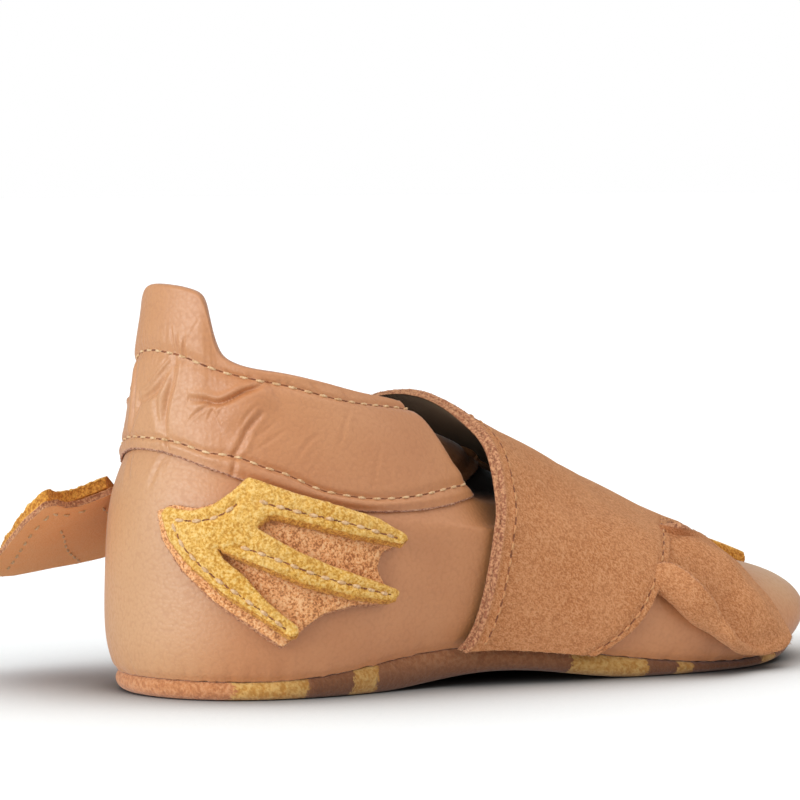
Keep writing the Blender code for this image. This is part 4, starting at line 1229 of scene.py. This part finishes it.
def thread_mesh(centre, out, tall, proud, thick):
    """Stitches as twisted threads: rings of eight points about each row's middle line, thin at both ends,
    where they dip into the leather."""
    count, samples = centre.shape[:2]
    sides = 8
    ahead = unit(np.gradient(centre, axis=1))
    across = unit(np.cross(ahead, out))
    above = unit(np.cross(across, ahead))
    share = np.linspace(0, 1, samples)
    arch = np.sin(math.pi * share) ** 0.55
    middle = centre + out * (tall * (arch - 0.75) + proud * arch - 0.02)[:, None]
    angle = np.arange(sides) * 2 * math.pi / sides
    twist = 1 + 0.12 * np.cos(2 * angle - 13 * share[:, None])
    radius = thick * (0.5 + 0.5 * arch)[:, None] * twist
    ring = (radius * np.cos(angle))[..., None] * across[:, :, None] + \
        (0.85 * radius * np.sin(angle))[..., None] * above[:, :, None]
    points = (middle[:, :, None] + ring).reshape(-1, 3)
    k = np.arange(samples - 1)[:, None] * sides
    i = np.arange(sides)
    j = (i + 1) % sides
    quads = np.stack(np.broadcast_arrays(k + i, k + j, k + sides + j, k + sides + i), -1).reshape(-1, 4)
    fan = np.arange(1, sides - 1)
    start = np.stack([np.zeros_like(fan), fan + 1, fan], -1)
    end = np.stack([np.zeros_like(fan), fan, fan + 1], -1) + (samples - 1) * sides
    each = (np.arange(count) * samples * sides)[:, None, None]
    return points, [(quads + each).reshape(-1, 4), (np.concatenate([start, end]) + each).reshape(-1, 3)]


def stitch_row(spots, face, tall=0.3, hole=False, thick=THREAD):
    """Stitches along a line of surface places, each put on the surface by the given face; or the painted shade
    of the needle holes between them, dark dashes which lie in the surface."""
    path, out = face(spots)
    run, places = stitch_places(path, HOLE_LENGTH if hole else STITCH_LENGTH, 1.0 if hole else 0.5)
    at = np.stack([np.interp(places, run, spots[:, k]) for k in range(2)], -1)
    centre, out = face(at.reshape(-1, 2))
    shape = places.shape + (3,)
    proud = -0.1 if hole else THREAD_PROUD
    return thread_mesh(centre.reshape(shape), out.reshape(shape), 0.05 if hole else tall, proud, thick)


def put_stitches(name, rows, material):
    """One object from several rows of stitches."""
    points, quads, tris = [], [], []
    first = 0
    for made, (four, three) in rows:
        points.append(made)
        quads.append(four + first)
        tris.append(three + first)
        first += len(made)
    faces = [np.concatenate(quads), np.concatenate(tris)]
    return put_piece(name, np.concatenate(points), faces, {}, material)


def put_seam(name, lines, face, thread, dark, more=(), **looks):
    """Two objects of one seam: its thread, with more rows where given, and the painted shade of the needle
    holes between.
    """
    rows = [stitch_row(line, face, **looks) for line in lines]
    put_stitches(name.format("stitches"), rows + list(more), thread)
    put_stitches(name.format("needle_holes"), [stitch_row(line, face, hole=True) for line in lines], dark)


def on_band(spots):
    """Outer face of the collar band at rows of turn and level."""
    return band_face(spots[:, 0], spots[:, 1])


def on_strap(spots):
    """Outer face of the strap at rows of station and place across."""
    return strap_face(spots[:, 0], spots[:, 1])


def on_ribs(lay):
    """Function that gives the top of the ribs, laid by the given rule, at places on the flat leaf."""
    edge = smooth_outline(RIB_OUTLINE)

    def face(spots):
        base, out = lay(spots)
        distance = outline_distance(spots, edge)[0]
        return base + (RIB_LOW + SUEDE + rib_height(spots, distance))[:, None] * out, out
    return face


def behind_far_web(spots):
    """Back of the far web, facing away from its ribs."""
    base, out = on_far_leaf(spots)
    return base + GAP * out, -out


def make_stitches(cream, tan, dark):
    """All visible seams: thread, and the painted shade of the needle holes between the stitches."""
    turn = np.linspace(-math.pi, math.pi, 900)
    lines = []
    for line, last in ((low_stitch, LOW_STITCH_END), (top_stitch, TOP_STITCH_END)):
        shown = turn[np.abs(turn) < math.radians(last)]
        lines.append(np.stack([shown, line(shown)], -1))
    put_seam("collar_band_{}", lines, on_band, cream, dark)
    lines = []
    for start, end in ((-STITCH_ACROSS, -STRAP_BARE), (STRAP_BARE, STITCH_ACROSS)):
        across = np.linspace(start, end, 300)
        front, back = strap_edges(across)
        lines.append(np.stack([front - FRONT_STITCH, across], -1))
        lines.append(np.stack([back + STRAP_SLANT + BACK_STITCH, across], -1))
    put_seam("instep_strap_{}", lines, on_strap, tan, dark, tall=0.22)
    lines = [along_line(line, 0.15) for line in RIB_STITCHES]
    put_seam("wing_{}_near", lines, on_ribs(on_near_wall), cream, dark, tall=0.2, thick=RIB_THREAD)
    behind = [stitch_row(line, behind_far_web, 0.2) for line in lines]
    put_seam("wing_{}_far", lines, on_ribs(on_far_ribs), cream, dark, behind, tall=0.2, thick=RIB_THREAD)


# Materials

def add(tree, kind, settings=None, **inputs):
    """Node with its settings, and its inputs given as values or as other nodes' outputs."""
    made = tree.nodes.new(kind)
    for key, value in (settings or {}).items():
        setattr(made, key, value)
    for key, value in inputs.items():
        connect(tree, made.inputs[key.replace("_", " ")], value)
    return made


def connect(tree, socket, value):
    """Socket given a value, or another node's output."""
    if isinstance(value, bpy.types.NodeSocket):
        tree.links.new(value, socket)
    else:
        socket.default_value = value


def calc(tree, operation, *values):
    """Result of one sum on numbers or other nodes' outputs."""
    made = tree.nodes.new("ShaderNodeMath")
    made.operation = operation
    for socket, value in zip(made.inputs, values):
        connect(tree, socket, value)
    return made.outputs[0]


def vector_calc(tree, operation, first, second):
    """Result of one sum on vectors."""
    made = add(tree, "ShaderNodeVectorMath", {"operation": operation})
    connect(tree, made.inputs[0], first)
    connect(tree, made.inputs["Scale" if operation == "SCALE" else 1], second)
    return made.outputs["Value" if operation == "DOT_PRODUCT" else "Vector"]


def own_place(tree):
    """Place on the piece, in the frame's own metres."""
    return add(tree, "ShaderNodeTexCoord").outputs["Object"]


def own_axes(tree):
    """That place's three measures."""
    return add(tree, "ShaderNodeSeparateXYZ", Vector=own_place(tree)).outputs


def mixed(tree, share, first, second):
    """Colour between two colours."""
    made = tree.nodes.new("ShaderNodeMix")
    made.data_type = "RGBA"
    connect(tree, made.inputs[0], share)
    connect(tree, made.inputs[6], first)
    connect(tree, made.inputs[7], second)
    return made.outputs[2]


def ranged(tree, value, low, high, to_low=0.0, to_high=1.0):
    """Value moved from one range to another, with soft ends."""
    made = add(tree, "ShaderNodeMapRange", {"interpolation_type": "SMOOTHSTEP"})
    for key, given in zip(("Value", "From Min", "From Max", "To Min", "To Max"),
                          (value, low, high, to_low, to_high)):
        connect(tree, made.inputs[key], given)
    return made.outputs["Result"]


def noise(tree, vector, scale, detail=3.0, rough=0.55):
    """Cloudy value between 0 and 1."""
    made = add(tree, "ShaderNodeTexNoise", Vector=vector, Scale=scale, Detail=detail, Roughness=rough)
    return made.outputs["Fac"]


def new_group(name, inputs, outputs):
    """Empty node group with float sockets; gives the tree, its input node and its output node."""
    tree = bpy.data.node_groups.new(name, "ShaderNodeTree")
    for socket in inputs:
        tree.interface.new_socket(name=socket, in_out="INPUT", socket_type="NodeSocketFloat")
    for socket in outputs:
        tree.interface.new_socket(name=socket, in_out="OUTPUT", socket_type="NodeSocketFloat")
    return tree, tree.nodes.new("NodeGroupInput"), tree.nodes.new("NodeGroupOutput")


def leather_grain_group():
    """Fine pebbled grain and slow changes of tone on smooth leather."""
    tree, given, out = new_group("leather grain", ("Scale",), ("Height", "Tone", "Pores"))
    place = own_place(tree)
    scale = given.outputs["Scale"]
    cells = add(tree, "ShaderNodeTexVoronoi", {"feature": "SMOOTH_F1"}, Vector=place, Scale=scale,
                Smoothness=0.6)
    pebble = cells.outputs["Distance"]
    fine = noise(tree, place, calc(tree, "MULTIPLY", scale, 1.7), 4.0)
    folds = noise(tree, place, calc(tree, "MULTIPLY", scale, 0.22), 3.0)
    height = calc(tree, "ADD", calc(tree, "MULTIPLY", pebble, -0.7), calc(tree, "MULTIPLY", fine, 0.35))
    tree.links.new(calc(tree, "ADD", height, calc(tree, "MULTIPLY", folds, 0.6)), out.inputs["Height"])
    tree.links.new(noise(tree, place, 55.0, 4.0), out.inputs["Tone"])
    tree.links.new(pebble, out.inputs["Pores"])
    return tree


def suede_nap_group():
    """Brushed nap: short fibres lying along one direction at two sizes, and slow brush marks. Stretch is
    how much longer than wide the fibres are, from 0 to 1."""
    tree, given, out = new_group("suede nap", ("Scale", "Stretch"), ("Height", "Fibre", "Brushed"))
    place = own_place(tree)
    scale = given.outputs["Scale"]
    along = vector_calc(tree, "DOT_PRODUCT", place, NAP_DIRECTION)
    along = calc(tree, "MULTIPLY", along, given.outputs["Stretch"])
    laid = vector_calc(tree, "SUBTRACT", place, vector_calc(tree, "SCALE", NAP_DIRECTION, along))
    fine = noise(tree, laid, scale, 2.0, 0.6)
    tuft = noise(tree, laid, calc(tree, "MULTIPLY", scale, 0.45), 2.0, 0.5)
    both = calc(tree, "ADD", calc(tree, "MULTIPLY", fine, 0.65), calc(tree, "MULTIPLY", tuft, 0.35))
    tree.links.new(both, out.inputs["Height"])
    tree.links.new(ranged(tree, both, 0.36, 0.64), out.inputs["Fibre"])
    tree.links.new(ranged(tree, noise(tree, place, 130.0, 4.0, 0.6), 0.3, 0.7), out.inputs["Brushed"])
    return tree


def cut_edge_group():
    """Where a raw edge shows, with a ragged border, and the specks of its loose fibres."""
    tree, given, out = new_group("cut edge", ("Cut",), ("Mask", "Specks"))
    place = own_place(tree)
    ragged = calc(tree, "MULTIPLY", calc(tree, "SUBTRACT", noise(tree, place, 1500.0, 3.0), 0.5), 0.6)
    bare = calc(tree, "ADD", given.outputs["Cut"], ragged)
    tree.links.new(ranged(tree, bare, 0.42, 0.75), out.inputs["Mask"])
    tree.links.new(ranged(tree, noise(tree, place, 2400.0, 2.0), 0.38, 0.62), out.inputs["Specks"])
    return tree


def use_group(tree, group, **inputs):
    """Outputs of a node group placed with its own values."""
    made = tree.nodes.new("ShaderNodeGroup")
    made.node_tree = group
    for key, value in inputs.items():
        connect(tree, made.inputs[key], value)
    return made.outputs


def mark(tree, name):
    """Value that the mesh holds at each point under a name."""
    return add(tree, "ShaderNodeAttribute", {"attribute_name": name}).outputs["Fac"]


def new_material(name, **constants):
    """Material with its shader; constants are set on the shader's own sockets."""
    material = bpy.data.materials.new(name)
    material.use_nodes = True
    tree = material.node_tree
    shader = tree.nodes["Principled BSDF"]
    for key, value in constants.items():
        shader.inputs[key.replace("_", " ")].default_value = value
    return material, tree, shader


def dress(tree, shader, colour, rough, height, strength, distance):
    """Colour, roughness and a bump of the given height joined to the shader."""
    tree.links.new(colour, shader.inputs["Base Color"])
    tree.links.new(rough, shader.inputs["Roughness"])
    made = add(tree, "ShaderNodeBump", Strength=strength, Distance=distance, Height=height)
    tree.links.new(made.outputs["Normal"], shader.inputs["Normal"])


def leather_material(grain, edge):
    """Smooth tan leather: mottled tone, a painted highlight that makes it paler at heel and toe, darker pores,
    soft gloss, lining inside, painted shade where the strap hides it, pinkish raw edges."""
    material, tree, shader = new_material("smooth_leather", Specular_IOR_Level=1.0, Sheen_Weight=0.2,
                                          Sheen_Roughness=0.35)
    found = use_group(tree, grain, Scale=GRAIN_SCALE)
    colour = mixed(tree, ranged(tree, found["Tone"], 0.3, 0.7), LEATHER_TAN, LEATHER_PALE)
    axes = own_axes(tree)
    # painted highlight: the leather is made paler at the back of the heel and on the toe
    heel = ranged(tree, axes["X"], *PAINTED_HIGHLIGHT_HEEL, PAINTED_HIGHLIGHT_SHARE, 0.0)
    toe = ranged(tree, axes["X"], *PAINTED_HIGHLIGHT_TOE, 0.0, PAINTED_HIGHLIGHT_SHARE)
    toe = calc(tree, "MULTIPLY", toe, ranged(tree, axes["Z"], *PAINTED_HIGHLIGHT_TOE_HEIGHT))
    colour = mixed(tree, calc(tree, "MAXIMUM", heel, toe), colour, LEATHER_PAINTED_HIGHLIGHT)
    colour = mixed(tree, ranged(tree, found["Pores"], 0.45, 0.8, 0.0, 0.16), colour, LEATHER_DEEP)
    inside = mark(tree, "inside")
    shade = mark(tree, "shade")
    colour = mixed(tree, inside, colour, LINING_TAN)
    # painted shade where the strap hides the collar
    colour = mixed(tree, shade, colour, PAINTED_SHADE_BROWN)
    raw = use_group(tree, edge, Cut=mark(tree, "cut"))
    colour = mixed(tree, raw["Mask"], colour, mixed(tree, raw["Specks"], EDGE_DEEP, RAW_PINK))
    gloss = ranged(tree, found["Pores"], 0.1, 0.8, 0.48, 0.6)
    matt = calc(tree, "MAXIMUM", raw["Mask"], calc(tree, "MAXIMUM", shade, inside))
    rough = calc(tree, "MAXIMUM", gloss, calc(tree, "MULTIPLY", matt, 0.92))
    dress(tree, shader, colour, rough, found["Height"], 0.5, 0.00014)
    return material


def suede_material(name, nap, edge, colours, raw_colours, scale, stretch, depth):
    """Brushed suede: fibres between a deep and a pale tone, brush marks, painted shade inside the strap, ragged
    raw edges."""
    base, deep, pale = colours
    material, tree, shader = new_material(name, Specular_IOR_Level=0.1, Sheen_Weight=0.28, Sheen_Roughness=0.5)
    shader.inputs["Sheen Tint"].default_value = SUEDE_SHEEN
    found = use_group(tree, nap, Scale=scale, Stretch=stretch)
    colour = mixed(tree, ranged(tree, found["Fibre"], 0.0, 0.5, depth, 0.0), base, deep)
    colour = mixed(tree, ranged(tree, found["Fibre"], 0.5, 1.0, 0.0, depth), colour, pale)
    colour = mixed(tree, ranged(tree, found["Brushed"], 0.0, 1.0, 0.0, 0.15), colour, pale)
    # painted shade on the strap's inner face
    colour = mixed(tree, mark(tree, "shade"), colour, PAINTED_SHADE_BROWN)
    raw = use_group(tree, edge, Cut=mark(tree, "cut"))
    colour = mixed(tree, raw["Mask"], colour, mixed(tree, raw["Specks"], *raw_colours))
    rough = ranged(tree, found["Fibre"], 0.0, 1.0, 0.98, 0.86)
    dress(tree, shader, colour, rough, found["Height"], 0.7, 0.00035)
    return material


def sole_material(nap):
    """Suede of the sole, darkened by painted shade ahead of the heel and most toward the ground, with plain
    printed bars across it that are worn away a little at their edges."""
    material, tree, shader = new_material("sole_suede", Specular_IOR_Level=0.1, Sheen_Weight=0.2,
                                          Sheen_Roughness=0.6)
    found = use_group(tree, nap, Scale=SOLE_NAP, Stretch=0.2)
    fibre = found["Fibre"]
    axes = own_axes(tree)
    along = calc(tree, "ADD", axes["X"], calc(tree, "MULTIPLY", axes["Y"], BAR_SLANT))
    ragged = calc(tree, "MULTIPLY", calc(tree, "SUBTRACT", fibre, 0.5), BAR_RAGGED)
    along = calc(tree, "ADD", along, ragged)
    printed = 0.0
    for middle, half in SOLE_BARS:
        centre = (middle - STATION_ZERO[0]) * MM
        away = calc(tree, "ABSOLUTE", calc(tree, "SUBTRACT", along, centre))
        bar = ranged(tree, away, (half - BAR_SOFT) * MM, (half + BAR_SOFT) * MM, 1.0, 0.0)
        printed = calc(tree, "MAXIMUM", printed, bar)
    colour = mixed(tree, ranged(tree, fibre, 0.0, 0.6, 0.5, 0.0), SUEDE_TAN, SUEDE_DEEP)
    colour = mixed(tree, ranged(tree, fibre, 0.5, 1.0, 0.0, 0.45), colour, SUEDE_PALE)
    # painted shade: darker ahead of the heel and most toward the ground, over the print too
    painted_sole_shade = calc(tree, "MULTIPLY", ranged(tree, axes["Z"], *PAINTED_SOLE_SHADE_HEIGHT, *PAINTED_SOLE_SHADE_SHARE),
                  ranged(tree, axes["X"], *PAINTED_SOLE_SHADE_FROM))
    colour = mixed(tree, painted_sole_shade, colour, SOLE_PAINTED_SHADE)
    ink = mixed(tree, fibre, PRINT_YELLOW, PRINT_PALE)
    colour = mixed(tree, calc(tree, "MULTIPLY", printed, PRINT_COVER), colour, ink)
    colour = mixed(tree, calc(tree, "MULTIPLY", painted_sole_shade, PAINTED_SOLE_SHADE_ON_PRINT), colour, SOLE_PAINTED_SHADE)
    dress(tree, shader, colour, ranged(tree, fibre, 0.0, 1.0, 0.98, 0.86), found["Height"], 0.7, 0.0004)
    return material


def thread_material(name, nap, shade, light):
    """Sewing thread, or the painted shade of its needle holes, a little uneven."""
    material, tree, shader = new_material(name, Specular_IOR_Level=0.25, Sheen_Weight=0.15)
    found = use_group(tree, nap, Scale=THREAD_NAP, Stretch=0.0)
    rough = ranged(tree, found["Fibre"], 0.0, 1.0, 0.85, 0.65)
    dress(tree, shader, mixed(tree, found["Fibre"], shade, light), rough, found["Height"], 0.3, 0.00008)
    return material


def felt_material(nap):
    """Felted fabric of the insole."""
    material, tree, shader = new_material("insole_felt", Specular_IOR_Level=0.1, Sheen_Weight=0.3)
    found = use_group(tree, nap, Scale=FELT_NAP, Stretch=0.0)
    rough = ranged(tree, found["Fibre"], 0.0, 1.0, 0.98, 0.88)
    dress(tree, shader, mixed(tree, found["Fibre"], FELT_DEEP, FELT), rough, found["Height"], 0.5, 0.0003)
    return material


# Stage

def make_floor():
    """Pale floor, a large square under the shoe, shaded softly where the shoe stands close; it throws back
    less light than it shows the camera."""
    mesh = bpy.data.meshes.new("floor")
    corners = [(FLOOR_REACH * x, FLOOR_REACH * y, 0) for x, y in ((-1, -1), (1, -1), (1, 1), (-1, 1))]
    mesh.from_pydata(corners, [], [(0, 1, 2, 3)])
    material, tree, shader = new_material("floor_white")
    seen = add(tree, "ShaderNodeLightPath").outputs["Is Camera Ray"]
    shade = add(tree, "ShaderNodeAmbientOcclusion", Distance=FLOOR_SHADE).outputs["AO"]
    light = ranged(tree, seen, 0.0, 1.0, FLOOR_BOUNCE, FLOOR_SEEN)
    shade = calc(tree, "MAXIMUM", shade, FLOOR_DARKEST)
    shade = calc(tree, "POWER", shade, calc(tree, "MULTIPLY", seen, FLOOR_DEPTH))
    matt = add(tree, "ShaderNodeBsdfDiffuse", Color=calc(tree, "MULTIPLY", light, shade))
    tree.links.new(matt.outputs["BSDF"], tree.nodes["Material Output"].inputs["Surface"])
    tree.nodes.remove(shader)
    mesh.materials.append(material)
    floor = bpy.data.objects.new("floor", mesh)
    bpy.context.scene.collection.objects.link(floor)


def make_light(name, toward, strength, spread, colour):
    """Broad soft light from one side: a sun that fills a wide angle, in degrees."""
    data = bpy.data.lights.new(name, "SUN")
    data.energy = strength
    data.color = colour
    data.angle = math.radians(spread)
    light = bpy.data.objects.new(name, data)
    light.location = toward
    light.rotation_mode = "QUATERNION"
    light.rotation_quaternion = (-Vector(toward)).to_track_quat("-Z", "Y")
    bpy.context.scene.collection.objects.link(light)


def make_world():
    """White all round; the light it gives is weaker than what the camera sees of it."""
    world = bpy.data.worlds.new("studio")
    bpy.context.scene.world = world
    world.use_nodes = True
    tree = world.node_tree
    ground = tree.nodes["Background"]
    ground.inputs["Color"].default_value = (1, 1, 1, 1)
    seen = add(tree, "ShaderNodeLightPath").outputs["Is Camera Ray"]
    tree.links.new(ranged(tree, seen, 0.0, 1.0, WORLD_LIGHT, 1.0), ground.inputs["Strength"])


def make_camera():
    """Camera at the photograph's angle, looking at the target."""
    a = math.radians(CAMERA_AZIMUTH)
    e = math.radians(CAMERA_ELEVATION)
    back = Vector((math.sin(a) * math.cos(e), -math.cos(a) * math.cos(e), math.sin(e)))
    data = bpy.data.cameras.new("camera")
    data.sensor_width = CAMERA_FRAME
    data.lens = CAMERA_LENS
    data.clip_start = 0.05
    data.clip_end = 20.0
    camera = bpy.data.objects.new("camera", data)
    camera.location = Vector(((CAMERA_TARGET - STATION_ZERO) * MM).tolist()) + back * CAMERA_DISTANCE * MM
    camera.rotation_mode = "QUATERNION"
    camera.rotation_quaternion = (-back).to_track_quat("-Z", "Y")
    bpy.context.scene.collection.objects.link(camera)
    bpy.context.scene.camera = camera


def main():
    """The stage, the materials, then every piece from the sole up."""
    bpy.context.scene.view_settings.view_transform = "Standard"
    make_camera()
    make_world()
    make_floor()
    for name, toward, strength, spread, colour in LIGHTS:
        make_light(name, toward, strength, spread, colour)
    grain = leather_grain_group()
    nap = suede_nap_group()
    edge = cut_edge_group()
    leather = leather_material(grain, edge)
    suede = {name: suede_material(name, nap, edge, *looks) for name, looks in SUEDES.items()}
    make_sole(sole_material(nap))
    make_insole(felt_material(nap))
    make_upper(leather)
    make_band(leather)
    make_strap(suede["tan_suede"])
    make_flap(suede["tan_suede"])
    make_horn(suede["yellow_suede"])
    sides = (("near", WEB_OUTLINE, "web_suede", on_near_wall, on_near_wall),
             ("far", FAR_WEB_OUTLINE, "far_web_suede", on_far_leaf, on_far_ribs))
    for side, outline, web, web_lay, rib_lay in sides:
        make_leaf("wing_web_suede_" + side, outline, web_lay, GAP, web_height, WEB_SLANT, suede[web],
                  "wing_membrane_" + side, "tan_suede")
        make_leaf("wing_ribs_suede_" + side, RIB_OUTLINE, rib_lay, RIB_LOW, rib_height, RIB_SLANT,
                  suede["yellow_suede"], "wing_ribs_" + side, "yellow_suede")
    make_stitches(thread_material("cream_thread", nap, THREAD_SHADE, THREAD_CREAM),
                  thread_material("tan_thread", nap, SUEDE_TAN, THREAD_TAN),
                  thread_material("needle_holes", nap, HOLE_PAINTED_SHADE, SUEDE_DEEP))


main()
